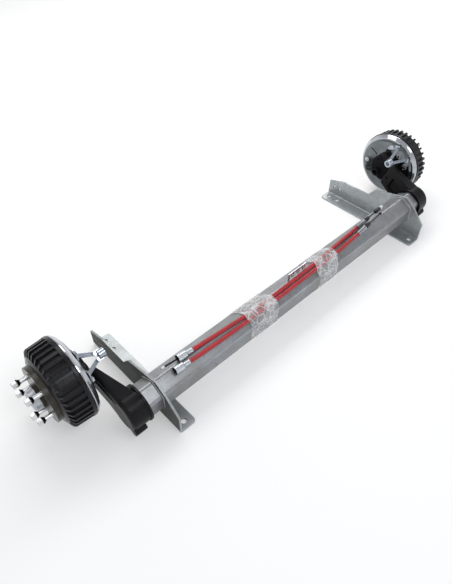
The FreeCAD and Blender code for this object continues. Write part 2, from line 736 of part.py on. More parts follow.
def screw_group(name, places, seat, radius):
    """Screws along +X: hexagon head below the seat, shank through the sheet, nut behind it."""
    sheet_x = (s.plate_x + s.sheet).value
    start, size = seat.value, radius.value
    shapes = []
    for y, z in places:
        middle = Vector(0, s.hub_y.value + y.value, s.hub_z.value + z.value)
        head = hexagon_prism(middle, size * 1.75, start - 5, start)
        shank = Part.makeCylinder(size, sheet_x + 6 - start, middle + X_AXIS * start, X_AXIS)
        nut = hexagon_prism(middle, size * 1.6, sheet_x, sheet_x + 5)
        shapes.append(head.fuse([shank, nut]).removeSplitter())
    return solid_feature(name, Part.makeCompound(shapes))


def hexagon_prism(middle, apothem, start, end):
    corners = []
    for i in range(6):
        angle = math.radians(60 * i)
        reach = apothem / math.cos(math.pi / 6)
        corners.append(Vector(start, middle.y + reach * math.cos(angle), middle.z + reach * math.sin(angle)))
    face = Part.Face(Part.makePolygon(corners + corners[:1]))
    return face.extrude(Vector(end - start, 0, 0))


def make_bracket_screws():
    return screw_group("bracket_screws_right", foot_places(), s.plate_x - s.foot_depth, s.screw_radius)


def foot_places():
    return [on_circle(s.foot_radius_at, s.bracket_angle + side * s.foot_spread) for side in (-1, 1)]


def make_inspection_plugs():
    """Rubber plugs with a groove that the backplate's sheet sits in."""
    plugs = []
    for y, z in plug_places():
        middle = Vector(s.plate_x.value, s.hub_y.value + y.value, s.hub_z.value + z.value)
        head = Part.makeCylinder(8.5, 5, middle - X_AXIS * 5, X_AXIS)
        neck = Part.makeCylinder(6, s.sheet.value, middle, X_AXIS)
        tail = Part.makeCylinder(7, 2, middle + X_AXIS * s.sheet.value, X_AXIS)
        plugs.append(head.fuse([neck, tail]).removeSplitter())
    return solid_feature("inspection_plugs_right", Part.makeCompound(plugs))


# Cable bracket: a socket on two folded legs with flat feet

LEG_ROOT_SIDE = 8.5
LEG_ROOT_OUT = 1.5
LEG_STRAIGHT = 8


def make_cable_bracket():
    apex = hub_point(s.socket_radius_at.value, 0)
    start, length = s.socket_x.value, s.socket_length.value
    end_x = s.plate_x.value
    socket = Part.makeCylinder(s.socket_outer.value, length, apex + X_AXIS * start, X_AXIS)
    pieces = []
    tools = [Part.makeCylinder(s.socket_bore.value, length + 2, apex + X_AXIS * (start - 1), X_AXIS)]
    for side in (-1, 1):
        pieces += [make_leg(side), make_foot(side)]
        screw = hub_point(s.foot_radius_at.value, side * s.foot_spread.value)
        tools.append(Part.makeCylinder(s.screw_radius.value, length, screw + X_AXIS * (end_x - length), X_AXIS))
    reach = s.rim_radius.value
    centre = Vector(end_x, s.hub_y.value - reach, s.hub_z.value - reach)
    tools.append(Part.makeBox(length, 2 * reach, 2 * reach, centre))
    return solid_feature("cable_bracket_right", socket.fuse(pieces).cut(tools).removeSplitter())


def hub_point(radius, spread):
    """Point round the hub axis, as an angle from the cable bracket's middle."""
    return Vector(0, s.hub_y.value, s.hub_z.value) + spoke(radius, s.bracket_angle.value + spread)


def make_leg(side):
    """Strip with both edges folded up, swept from the socket to the backplate."""
    outward = spoke(1, s.bracket_angle.value)
    across = spoke(1, s.bracket_angle.value + 90)
    root = hub_point(s.socket_radius_at.value, 0) + across * (side * LEG_ROOT_SIDE) + outward * LEG_ROOT_OUT
    root_x = (s.socket_x + s.socket_length / 2).value
    bend_x = (s.socket_x + s.socket_length + LEG_STRAIGHT).value
    foot = hub_point(s.leg_end_radius.value, side * s.leg_end_spread.value)
    slope = (foot - root) * (1 / (s.plate_x.value - bend_x))
    beyond = s.leg_depth.value
    end = foot + slope * beyond + X_AXIS * (s.plate_x.value + beyond)
    path = Part.makePolygon([root + X_AXIS * root_x, root + X_AXIS * bend_x, end])
    half, depth, fold = s.leg_width.value / 2, s.leg_depth.value / 2, s.leg_fold.value
    section = [(-half, -depth), (half, -depth), (half, depth), (half - fold, depth), (half - fold, fold - depth),
               (fold - half, fold - depth), (fold - half, depth), (-half, depth)]
    corners = [root + X_AXIS * root_x + across * u + outward * v for u, v in section]
    profile = Part.makePolygon(corners + corners[:1])
    return path.makePipeShell([profile], True, False, 1)


def make_foot(side):
    """Flat foot from a leg's end to its screw."""
    start = hub_point(s.leg_end_radius.value, side * s.leg_end_spread.value)
    screw = hub_point(s.foot_radius_at.value, side * s.foot_spread.value)
    half = s.screw_radius.value * 2
    depth = s.foot_depth.value
    along = (screw - start).normalize()
    across = X_AXIS.cross(along) * half
    base = X_AXIS * (s.plate_x.value - depth)
    back = start - along * half
    corners = [back + across + base, screw + across + base, screw - across + base, back - across + base]
    strip = Part.Face(Part.makePolygon(corners + corners[:1])).extrude(X_AXIS * depth)
    return strip.fuse(Part.makeCylinder(half, depth, screw + base, X_AXIS))


def spoke(radius, angle):
    return Vector(0, radius * math.cos(math.radians(angle)), radius * math.sin(math.radians(angle)))


# Brake inside the drum

# Angle between the cable bracket's middle and the end of a shoe's web
SHOE_END = 9


def make_brake_shoe(name, side):
    """Web, table and lining turned part of the way round, in a frame turned to the shoe's middle."""
    lean = (s.heel_spread - SHOE_END) / 2
    angle = s.bracket_angle + side * (90 - lean)
    sweep = 180 - SHOE_END - s.heel_spread
    web = new_body(f"{name}_web", HUB, angle)
    arc(web, [(s.shoe_x - 2.5, s.shoe_inner), (s.shoe_x - 2.5, s.shoe_table - 1), (s.shoe_x + 2.5, s.shoe_table - 1),
              (s.shoe_x + 2.5, s.shoe_inner)], sweep)
    table = new_body(f"{name}_table", HUB, angle)
    half = s.shoe_width / 2
    arc(table, [(s.shoe_x - half, s.shoe_table - 3), (s.shoe_x - half, s.lining), (s.shoe_x + half, s.lining),
                (s.shoe_x + half, s.shoe_table - 3)], as_size(118))
    heel = new_body(f"{name}_heel", HUB, s.bracket_angle + 180)
    spread = -side * s.heel_spread
    pad_disc(heel, s.heel_at * cosine(spread), s.heel_at * sine(spread), s.heel_radius, s.shoe_x - 2.5, 5)
    shoe = doc.addObject("Part::MultiFuse", name)
    shoe.Label = name
    shoe.Shapes = [web, table, heel]
    shoe.Refine = True
    return shoe


def arc(body, points, angle):
    sketch = sketch_on(body, "XY_Plane")
    add_outline(sketch, points)
    item = feature(body, "Revolution", sketch)
    item.ReferenceAxis = (sketch, ["H_Axis"])
    bind(item, "Angle", angle)
    item.Midplane = True
    return item


def block(name, near_r, far_r, half_t, angle):
    """A block on the backplate between the shoe webs' ends."""
    body = new_body(name, HUB, angle)
    start = s.plate_x + s.sheet
    pad_outline(body, [(near_r, -half_t), (far_r, -half_t), (far_r, half_t), (near_r, half_t)],
                start, s.shoe_x + 7 - start)
    return body


def shoe_end_gap():
    """Half the free width between the shoe webs' ends, less a clearance."""
    return (s.shoe_inner + 4) * sine(SHOE_END) - 0.5


def make_brake_anchor():
    return block("brake_anchor_right", s.shoe_inner + 4, s.shoe_table - 4, shoe_end_gap(), s.bracket_angle + 180)


def make_shoe_springs():
    """Two tension springs between the shoes, one each side of the hub."""
    hub = Vector(s.shoe_x.value + 6, s.hub_y.value, s.hub_z.value)
    shapes = []
    for turn_by in (0, 180):
        angle = s.bracket_angle.value + turn_by
        middle = hub + spoke(s.spring_offset.value, angle)
        across = spoke(1, angle + 90)
        half = math.sqrt(s.shoe_inner.value ** 2 - s.spring_offset.value ** 2) + 3
        shapes.append(ridged_bar(middle - across * half, across, 2 * half, 3.4))
    return solid_feature("shoe_springs_right", Part.makeCompound(shapes))


def ridged_bar(start, along, length, radius):
    """A close-wound spring as one turned solid, a ridge for every two coils."""
    count = 9
    points = [Vector(0, 0, 0)]
    step = length / count
    for i in range(count):
        points += [Vector(i * step, radius - 0.8, 0), Vector((i + 0.5) * step, radius, 0)]
    points += [Vector(length, radius - 0.8, 0), Vector(length, 0, 0)]
    face = Part.Face(Part.makePolygon(points + points[:1]))
    solid = face.revolve(Vector(0, 0, 0), X_AXIS, 360)
    solid.Placement = Placement(start, Rotation(X_AXIS, along))
    return solid


def make_expander_post():
    """Block on the backplate, bored for the wire, with the pin that the lever turns on."""
    body = new_body("expander_post_right", HUB, s.bracket_angle)
    start = s.plate_x + s.sheet
    near, far = s.socket_radius_at - 8, s.socket_radius_at + 6
    pad_outline(body, [(near, -9), (far, -9), (far, 9), (near, 9)], start, s.shoe_x + 7 - start)
    pin = sketch_on(body, "XZ_Plane", -far)
    add_circle(pin, s.shoe_x, 0, s.pin_radius)
    feature(body, "Pad", pin, Length=s.shoe_table - 4 - far, Reversed=True)
    bore(body, [(s.socket_radius_at, 0, s.wire_radius * 1.6)], start - 1, s.shoe_x + 9 - start)
    return body


def make_expander_lever():
    """Cam between the shoes' ends, with the arm that the wire pulls."""
    body = new_body("expander_lever_right", HUB, s.bracket_angle)
    near, far = s.socket_radius_at + 6.3, s.shoe_table - 4
    half = shoe_end_gap()
    cam = sketch_on(body, "XZ_Plane", -near)
    add_outline(cam, [(s.shoe_x - 19, -half), (s.shoe_x - 11, -half), (s.shoe_x - 11, -5), (s.shoe_x - 6, -half),
                      (s.shoe_x + 6, -half), (s.shoe_x + 6, half), (s.shoe_x - 6, half), (s.shoe_x - 19, 6)])
    add_circle(cam, s.shoe_x, 0, s.pin_radius + s.pin_gap)
    feature(body, "Pad", cam, Length=far - near, Reversed=True)
    return body


# Brake drum with hub

# The slots end this far above the cone's foot
FIN_FOOT = 11


def make_brake_drum():
    body = new_body("brake_drum_right", HUB)
    wall = 7
    bearing_end = s.bearing_x + s.bearing_width
    turn(body, [
        (s.drum_lip_x, s.drum_bore + 3), (s.drum_lip_x, s.drum_lip), (s.drum_lip_x + s.lip_band, s.drum_lip),
        (s.drum_lip_x + s.lip_band, s.fin_top), (s.shoulder_x, s.fin_end), (s.shoulder_x + 4, s.fin_end - 2.5),
        (s.cone_end_x, s.cone_end), (s.cone_end_x + 1, s.face_radius), (s.face_x, s.face_radius),
        (s.face_x, s.spigot_radius), (s.face_x + s.spigot_length, s.spigot_radius),
        (s.face_x + s.spigot_length, s.cap_radius - 1.5), (bearing_end + 4, s.cap_radius - 1.5),
        (bearing_end + 4, s.bearing_outer - 4), (bearing_end, s.bearing_outer - 4), (bearing_end, s.bearing_outer),
        (s.bearing_x, s.bearing_outer), (s.bearing_x, s.bearing_outer + 2), (s.bearing_x - 2, s.bearing_outer + 2),
        (s.bearing_x - 2, s.bearing_outer), (s.bearing_x - 6, s.bearing_outer), (s.bearing_x - 6, s.barrel_radius),
        (s.cone_end_x - wall - 8, s.barrel_radius), (s.cone_end_x - wall, s.barrel_radius + 10),
        (s.cone_end_x - wall, s.cone_end - 3), (s.shoulder_x + 1, s.drum_bore - 2), (s.shoulder_x - 1, s.drum_bore),
        (s.drum_lip_x + 2, s.drum_bore)])
    slot = sketch_on(body, "XY_Plane")
    floor = s.fin_top - s.fin_height
    add_outline(slot, [(s.drum_lip_x + s.lip_band + 1, floor), (s.shoulder_x - 3, s.fin_end - s.fin_height),
                       (s.shoulder_x + 6, s.cone_end + FIN_FOOT), (s.cone_end_x + 6, s.cone_end + FIN_FOOT),
                       (s.cone_end_x + 6, s.drum_lip + 8), (s.drum_lip_x + s.lip_band + 1, s.drum_lip + 8)])
    cut = feature(body, "Pocket", slot, Length=s.fin_gap, Midplane=True)
    doc.recompute()
    pattern = body.newObject("PartDesign::PolarPattern", "fin_pattern")
    pattern.Originals = [cut]
    axis = next(item for item in body.Origin.OriginFeatures if item.Role == "X_Axis")
    pattern.Axis = (axis, [""])
    pattern.Angle = 360
    bind(pattern, "Occurrences", s.fin_count)
    body.Tip = pattern
    holes = [(*on_circle(s.wheel_pcd / 2, s.wheel_bolt_angle + 72 * i), s.wheel_bolt / 2) for i in range(5)]
    bore(body, holes, s.cone_end_x - 8, s.face_x - s.cone_end_x + 10)
    return body


def make_wheel_bolts():
    shapes = []
    radius = s.wheel_bolt.value / 2
    seat = s.face_x.value + s.bolt_stand.value
    for i in range(5):
        offset = spoke(s.wheel_pcd.value / 2, s.wheel_bolt_angle.value + 72 * i)
        middle = Vector(0, s.hub_y.value, s.hub_z.value) + offset
        length = s.bolt_stand.value + s.bolt_engage.value - 4
        shank = Part.makeCylinder(radius, length, middle + X_AXIS * (seat - length), X_AXIS)
        taper = Part.makeCone(radius, 9.5, 5, middle + X_AXIS * seat, X_AXIS)
        collar = Part.makeCylinder(9.5, 2, middle + X_AXIS * (seat + 5), X_AXIS)
        head = hexagon_prism(middle, 8.5, seat + 7, seat + 20)
        dome = Part.makeCone(9.6, 7.2, 2, middle + X_AXIS * (seat + 18), X_AXIS)
        head = head.cut(Part.makeCylinder(12, 3, middle + X_AXIS * (seat + 18), X_AXIS).cut(dome))
        shapes.append(shank.fuse([taper, collar, head]).removeSplitter())
    return solid_feature("wheel_bolts_right", Part.makeCompound(shapes))


def make_grease_cap():
    body = new_body("grease_cap_right", HUB)
    start = s.face_x + s.spigot_length
    inner = s.cap_radius - 1.5
    turn(body, [(start - 6, inner - 1.5), (start - 6, inner), (start, inner), (start, s.cap_radius + 1),
                (start + 2.5, s.cap_radius + 1), (start + 2.5, s.cap_radius - 1), (start + s.cap_length - 5, s.cap_radius - 1.5),
                (start + s.cap_length, s.cap_radius - 7), (start + s.cap_length, 0), (start + s.cap_length - 1.5, 0),
                (start + s.cap_length - 1.5, s.cap_radius - 8), (start + s.cap_length - 6, s.cap_radius - 3)])
    return body


# Brake cables, tied along the top of the tube

def tube_surface(along, lift):
    """Point beside the tube, measured up its front top face from the front corner."""
    apothem = s.tube_apothem.value
    radius = s.tube_corner.value
    side = apothem / math.cos(math.pi / 6)
    tangent = side - radius * math.tan(math.pi / 6)
    if along <= tangent:
        y = s.tube_y.value - apothem + along * math.cos(math.pi / 6) - lift / 2
        z = s.tube_z.value + side / 2 + along / 2 + lift * math.cos(math.pi / 6)
        return y, z
    turned = math.radians(120) - (along - tangent) / (radius + lift)
    centre_z = s.tube_z.value + side - radius / math.cos(math.pi / 6)
    return (s.tube_y.value + (radius + lift) * math.cos(turned), centre_z + (radius + lift) * math.sin(turned))


# Routes as (place along the axle, distance up the tube's face, gap under the casing)
CABLE_ROUTES = {
    "upper": ((-427, 53.5, 5.4), (-340, 47.0, 0.3), (-200, 39.8, 0.4), (-60, 41.0, 0.3), (75, 45.5, 0.3),
              (175, 52.0, 0.3), (240, 56.5, 0.6), (300, 60.5, 4.2)),
    "lower": ((-453, 32.5, 5.4), (-350, 26.8, 0.3), (-190, 26.5, 0.3), (-40, 27.5, 0.3), (100, 30.5, 0.3),
              (205, 33.5, 0.6), (277, 39.5, 5.0)),
}


# Half tube length that the places along the axle were measured on
ROUTE_HALF = 590.0


def along_axle(x):
    return x * s.tube_half.value / ROUTE_HALF


def cable_points(name):
    points = []
    for x, along, gap in CABLE_ROUTES[name]:
        y, z = tube_surface(along, s.cable_radius.value + gap)
        points.append(Vector(along_axle(x), y, z))
    return points


def rounded_path(points):
    """Straight runs joined by tangent arcs as large as the runs allow."""
    edges = []
    start = points[0]
    radii = []
    for before, corner, after in zip(points, points[1:], points[2:]):
        back = (before - corner).normalize()
        ahead = (after - corner).normalize()
        turned = math.pi - back.getAngle(ahead)
        reach = 0.45 * min((before - corner).Length, (after - corner).Length)
        radius = reach / math.tan(turned / 2)
        radii.append(round(radius))
        first = corner + back * reach
        last = corner + ahead * reach
        bisector = (back + ahead).normalize()
        centre = corner + bisector * (radius / math.cos(turned / 2))
        middle = centre - bisector * radius
        edges.append(Part.LineSegment(start, first).toShape())
        edges.append(Part.Arc(first, middle, last).toShape())
        start = last
    edges.append(Part.LineSegment(start, points[-1]).toShape())
    return Part.Wire(edges), radii


def make_cable(name):
    points = cable_points(name)
    path, radii = rounded_path(points)
    circle = Part.makeCircle(s.cable_radius.value, points[0], points[1] - points[0])
    tube = path.makePipeShell([Part.Wire([circle])], True, False)
    expected = math.pi * s.cable_radius.value ** 2 * path.Length
    print(f"cable {name}: length {path.Length:.1f}, radii {radii}, volume ratio {tube.Volume / expected:.5f}")
    origin, outwards, *rest = cable_ends(name)
    room = s.wire_radius.value + WIRE_GAP
    hollow = turned_piece([(-WIRE_ROOM, 0), (-WIRE_ROOM, room), (1, room), (1, 0)])
    return solid_feature(f"brake_cable_{name}", tube.cut(along_cable(hollow, origin, outwards)))


def turned_piece(points):
    """A solid turned about X from (x, radius) points."""
    corners = [Vector(x, r, 0) for x, r in points]
    face = Part.Face(Part.makePolygon(corners + corners[:1]))
    return face.revolve(Vector(0, 0, 0), X_AXIS, 360)


def along_cable(shape, origin, direction):
    moved = shape.copy()
    moved.Placement = Placement(origin, Rotation(X_AXIS, direction))
    return moved


def cable_ends(name):
    points = cable_points(name)
    return points[0], (points[0] - points[1]).normalize(), points[-1], (points[-1] - points[-2]).normalize()


# Ferrule neck, the overlap of a ferrule on its casing, and the running gap round the wire
NECK = 12.0
FERRULE_GRIP = 8
WIRE_GAP = 0.05
WIRE_INSIDE = 2
# Depth of the casing's bore that the near wire end draws into
WIRE_ROOM = 20


def make_bells():
    shapes = []
    for name in ("upper", "lower"):
        origin, direction, *rest = cable_ends(name)
        outer, length = s.bell_radius.value, s.bell_length.value
        inner = s.cable_radius.value
        neck, wall = inner + 1.6, 1.5
        bore_radius = s.wire_radius.value + WIRE_GAP
        bell = turned_piece([(-FERRULE_GRIP, inner), (-FERRULE_GRIP, neck), (NECK - 2, neck), (NECK, outer - 1),
                             (NECK + 1, outer), (NECK + length, outer), (NECK + length, outer - wall),
                             (NECK + 3, outer - wall), (NECK + 3, bore_radius), (0, bore_radius), (0, inner)])
        shapes.append(along_cable(bell, origin, direction))
    return solid_feature("cable_bells", Part.makeCompound(shapes))


def make_sleeves():
    shapes = []
    for name in ("upper", "lower"):
        _, _, origin, direction = cable_ends(name)
        inner, outer, length = s.cable_radius.value, s.sleeve_radius.value, s.sleeve_length.value
        bore_radius = s.wire_radius.value + WIRE_GAP
        sleeve = turned_piece([(-FERRULE_GRIP, inner), (-FERRULE_GRIP, outer), (length - 6, outer),
                               (length, outer + 1.5), (length, bore_radius), (0, bore_radius), (0, inner)])
        shapes.append(along_cable(sleeve, origin, direction))
    return solid_feature("cable_sleeves", Part.makeCompound(shapes))


def make_gaiters():
    shapes = []
    for name in ("upper", "lower"):
        _, _, origin, direction = cable_ends(name)
        start = s.sleeve_length.value
        length = s.gaiter_length.value
        bore_radius = s.wire_radius.value + WIRE_GAP
        points = [(start, bore_radius)]
        folds = 4
        for i in range(folds):
            left = start + length * i / folds
            points += [(left, 5.5), (left + length / folds * 0.5, 8.0 - 0.6 * i)]
        points += [(start + length, 4.5), (start + length, bore_radius)]
        shapes.append(along_cable(turned_piece(points), origin, direction))
    return solid_feature("cable_gaiters", Part.makeCompound(shapes))


# Fittings behind the free rod, as (length, radius) of each step
ROD_REACH = {"upper": 36, "lower": 58}
ROD_STEPS = {"upper": ((6, 6.0), (14, 7.5), (15, 5.5), (6, 4.0)), "lower": ((4, 4.5), (3, 3.5))}


def make_wire_rod(name):
    """Threaded pull rod with its nut and end fitting."""
    _, _, origin, direction = cable_ends(name)
    radius = s.wire_radius.value
    end = s.sleeve_length.value + s.gaiter_length.value + ROD_REACH[name]
    outline = [(WIRE_INSIDE, 0), (WIRE_INSIDE, radius), (end, radius)]
    for length, step in ROD_STEPS[name]:
        outline += [(end, step), (end + length, step)]
        end += length
    rod = turned_piece(outline + [(end, 0)])
    return solid_feature(f"wire_rod_{name}", along_cable(rod, origin, direction))


# Wire beyond the casing at the bells, and the nipple at its end
EYE_REACH = {"upper": 90, "lower": 41}
NIPPLE_LENGTH = 10
NIPPLE_RADIUS = 3.2


def make_wire_eye(name):
    """Wire end with its crimped nipple at the bell."""
    origin, direction, *rest = cable_ends(name)
    reach = EYE_REACH[name]
    radius = s.wire_radius.value
    shoulder = reach - NIPPLE_LENGTH
    wire = turned_piece([(WIRE_INSIDE, 0), (WIRE_INSIDE, radius), (shoulder - 2, radius), (shoulder, NIPPLE_RADIUS),
                         (reach, NIPPLE_RADIUS), (reach, 0)])
    return solid_feature(f"wire_eye_{name}", along_cable(wire, origin, direction))


# Film wraps and the loose strip of clamps beside one of them

FILM_LEFT = (-247, -124)
FILM_RIGHT = (40, 150)
CLAMP_SPAN = (-45, 32)
CLAMP_BEHIND = 2
CLAMP_GAP = 0.3

def convex_outline(points):
    """Convex outline of points in the YZ plane, by walking the two chains."""
    ordered = sorted(points)

    def chain(items):
        kept = []
        for item in items:
            while len(kept) > 1 and cross(kept[-2], kept[-1], item) <= 1e-9:
                kept.pop()
            kept.append(item)
        return kept[:-1]

    return chain(ordered) + chain(reversed(ordered))


def cross(a, b, c):
    return (b[0] - a[0]) * (c[1] - a[1]) - (b[1] - a[1]) * (c[0] - a[0])


def make_film(name, start, end):
    start, end = along_axle(start), along_axle(end)
    rounds = []
    corner = s.tube_corner.value
    reach = (s.tube_apothem.value - corner) / math.cos(math.pi / 6)
    for i in range(6):
        angle = math.radians(30 + 60 * i)
        rounds.append((s.tube_y.value + reach * math.cos(angle), s.tube_z.value + reach * math.sin(angle), corner))
    for cable in ("upper", "lower"):
        for x in (start, (start + end) / 2, end):
            point = cable_point(cable, x)
            rounds.append((point[0], point[1], s.cable_radius.value))
    rings = []
    for grow in (0.3 + s.film.value, 0.3):
        points = []
        for y, z, radius in rounds:
            for i in range(16):
                angle = math.pi * i / 8
                points.append((y + (radius + grow) * math.cos(angle), z + (radius + grow) * math.sin(angle)))
        outline = [Vector(start, y, z) for y, z in convex_outline(points)]
        face = Part.Face(Part.makePolygon(outline + outline[:1]))
        rings.append(face.extrude(Vector(end - start, 0, 0)))
    return solid_feature(name, rings[0].cut(rings[1]))


def cable_point(name, x):
    """Where a cable's route crosses a plane across the axle."""
    route = cable_points(name)
    for before, after in zip(route, route[1:]):
        if before.x <= x <= after.x:
            part = (x - before.x) / (after.x - before.x)
            return (before.y + (after.y - before.y) * part, before.z + (after.z - before.z) * part)


def make_clamp_strip():
    """A bright strip with three rounded tabs, standing on the tube's ridge beside the upper cable."""
    top = (s.tube_apothem.value - s.tube_corner.value) / math.cos(math.pi / 6) + s.tube_corner.value
    foot = s.tube_z.value + top + CLAMP_GAP
    start, end = [along_axle(x) for x in CLAMP_SPAN]
    length = end - start
    y = s.tube_y.value + CLAMP_BEHIND
    height, band, sheet_depth = 24.0, 6.0, 2.5
    pieces = [Part.makeBox(length, sheet_depth, band, Vector(start, y, foot + height - band))]
    pieces.append(Part.makeBox(band, sheet_depth, height, Vector(start, y, foot)))
    tab = band * 1.2
    pitch = (length - band) / 3
    for i in range(3):
        middle = Vector(start + band + pitch * (i + 0.55), y, foot + height - band - tab * 0.7)
        disc = Part.makeCylinder(tab, sheet_depth, middle, Y_AXIS)
        pieces.append(disc.cut(Part.makeCylinder(tab * 0.35, sheet_depth, middle, Y_AXIS)))
    return solid_feature("clamp_strip", pieces[0].fuse(pieces[1:]).removeSplitter())


def build():
    pieces = [make_axle_tube()]
    bracket = make_bracket()
    pieces += [bracket, mirrored(bracket, "bracket_left")]
    handed = [make_rubber_cords(), make_torsion_bar(), make_swing_arm(), make_stub_axle(), make_bearing_inner(),
              make_bearing_outer(), make_axle_nut(), make_circlip(), make_backplate(), make_backplate_screws(),
              make_bracket_screws(), make_inspection_plugs(), make_cable_bracket(),
              make_brake_shoe("brake_shoe_front_right", 1), make_brake_shoe("brake_shoe_rear_right", -1),
              make_brake_anchor(), make_shoe_springs(), make_expander_post(), make_expander_lever(),
              make_brake_drum(),
              make_wheel_bolts(), make_grease_cap()]
    for piece in handed:
        pieces += [piece, mirrored(piece, piece.Label.replace("_right", "_left"))]
    pieces += [make_cable("upper"), make_cable("lower"), make_bells(), make_sleeves(), make_gaiters()]
    for name in ("upper", "lower"):
        pieces += [make_wire_rod(name), make_wire_eye(name)]
    pieces += [make_film("film_wrap_left", *FILM_LEFT), make_film("film_wrap_right", *FILM_RIGHT), make_clamp_strip()]
    return pieces


def export(pieces):
    doc.recompute()
    for item in doc.Objects:
        if {"Invalid", "Error"} & set(item.State):
            raise RuntimeError(f"{item.Label} did not build")
    for piece in pieces:
        if piece.Shape.isNull() or not piece.Shape.isValid():
            raise RuntimeError(f"{piece.Label} has no valid shape")
    os.makedirs("parts", exist_ok=True)
    for piece in pieces:
        piece.Shape.exportStep(f"parts/{piece.Label}.step")
        print(piece.Label, len(piece.Shape.Solids), round(piece.Shape.Volume))


export(build())
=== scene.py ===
# %% [markdown]
# # A braked trailer axle with rubber suspension
#
# The real object is a steel axle that was hot-dip galvanised, lying upside down on its two
# chassis brackets. Each end has a black cast swing arm, a zinc-plated brake backplate and a
# black finned drum. Two red brake cables lie along the tube, held by turns of clear film.
#
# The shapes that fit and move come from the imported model. This file gives every surface its
# finish, makes the soft and fine pieces, and lights and frames the whole.

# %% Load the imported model
import math

import bmesh
import bpy
from mathutils import Matrix, Vector, noise


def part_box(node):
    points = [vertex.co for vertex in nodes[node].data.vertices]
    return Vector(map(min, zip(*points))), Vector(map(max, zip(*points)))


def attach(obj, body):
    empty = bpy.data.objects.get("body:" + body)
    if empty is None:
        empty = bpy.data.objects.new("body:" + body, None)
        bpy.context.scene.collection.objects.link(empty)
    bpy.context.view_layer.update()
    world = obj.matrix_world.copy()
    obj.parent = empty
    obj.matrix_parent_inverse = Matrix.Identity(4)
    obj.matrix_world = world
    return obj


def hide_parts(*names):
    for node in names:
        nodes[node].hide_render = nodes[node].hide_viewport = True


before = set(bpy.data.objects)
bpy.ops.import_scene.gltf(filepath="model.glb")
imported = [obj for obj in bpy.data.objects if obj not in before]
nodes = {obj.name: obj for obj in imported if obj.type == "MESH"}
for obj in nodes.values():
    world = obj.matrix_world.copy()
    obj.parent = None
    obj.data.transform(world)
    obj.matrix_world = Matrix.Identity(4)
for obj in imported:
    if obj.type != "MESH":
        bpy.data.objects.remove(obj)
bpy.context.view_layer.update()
MM = 0.001
SIDES = {"left": -1, "right": 1}

# Light: the floor's grey and its own glow, the sky near the horizon and overhead, and the lamps
# as name, place, aim, size, power and tint
FLOOR_TONE = 0.68
FLOOR_LIFT = 0.30
SKY_LOW = (0.95, 0.95, 0.95)
SKY_HIGH = (0.56, 0.57, 0.59)
LAMPS = (
    ("ceiling", (1.6, 1.35, 2.1), (1.6, 1.351, 0), (4.4, 1.2), 62, (1.0, 0.99, 0.97)),
    ("overhead", (-0.25, -1.5, 2.4), (-0.5, -0.1, 0.1), (1.0, 0.8), 13, (0.97, 0.99, 1.0)),
    ("window", (1.3, -2.6, 0.45), (0, 0, 0.1), (1.8, 0.35), 8, (0.74, 0.84, 1.0)),
)

# %% [markdown]
# ## The camera
#
# A photograph fixes its viewpoint. The lens and the place were found by matching the bracket
# corners and the tube, so the render can be laid over the picture. Blender's camera looks along
# its own -Z, so its turn is built from three directions: right, up and back.

# %% Place the camera
CAMERA_PLACE = Vector((-0.8969, -0.7452, 1.1943))
CAMERA_AZIMUTH = math.radians(-43.022)
CAMERA_HEIGHT = math.radians(46.473)
CAMERA_ROLL = math.radians(-0.435)
LENS_MM = 31.37
SENSOR_MM = 36.0
VIEW_DEPTH = 30


def camera_axes():
    back = Vector((math.sin(CAMERA_AZIMUTH) * math.cos(CAMERA_HEIGHT),
                   -math.cos(CAMERA_AZIMUTH) * math.cos(CAMERA_HEIGHT),
                   math.sin(CAMERA_HEIGHT)))
    right = Vector((0, 0, 1)).cross(back).normalized()
    up = back.cross(right)
    turn = Matrix.Rotation(CAMERA_ROLL, 3, back)
    return turn @ right, turn @ up, back


camera_data = bpy.data.cameras.new("camera")
camera_data.lens = LENS_MM
camera_data.sensor_width = SENSOR_MM
camera_data.clip_end = VIEW_DEPTH
camera = bpy.data.objects.new("camera", camera_data)
bpy.context.scene.collection.objects.link(camera)
camera.matrix_world = Matrix.Translation(CAMERA_PLACE) @ Matrix(camera_axes()).transposed().to_4x4()
bpy.context.scene.camera = camera
print("camera", [round(v, 3) for v in camera.location], "lens", LENS_MM)

# %% [markdown]
# ## Helpers for modelling by hand
#
# Operators act on whatever is selected, so each step first clears the selection. A finished
# piece keeps its object at the origin and its place in its mesh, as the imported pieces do, so
# that a pattern on object coordinates lines up across pieces.

# %% Selection and finishing helpers
def clear_selection():
    if bpy.context.mode != "OBJECT":
        bpy.ops.object.mode_set(mode="OBJECT")
    bpy.ops.object.select_all(action="DESELECT")


def pick(piece):
    clear_selection()
    piece.select_set(True)
    bpy.context.view_layer.objects.active = piece


def settle(piece):
    """Puts the place and turn of a piece into its mesh."""
    pick(piece)
    bpy.ops.object.transform_apply(location=True, rotation=True, scale=True)
    return piece


def finish_piece(piece, name, body, material, smooth_angle=35):
    """Names a piece, smooths and finishes it, and joins it to a body."""
    settle(piece)
    piece.name = name
    piece.data.name = name
    bpy.ops.object.shade_smooth_by_angle(angle=math.radians(smooth_angle))
    piece.data.materials.clear()
    piece.data.materials.append(material)
    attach(piece, body)


# %% [markdown]
# ## Shared effects
#
# Worn edges, which also serve as painted highlights along edges, dust and zinc crystals turn up
# on several finishes. Each is built once as a node group that gives a mask, and every material
# places it with its own strength. The group puts out only masks, so the shader and its constant
# values stay in the material.

# %% Build node groups
BEVEL_SAMPLES = 4


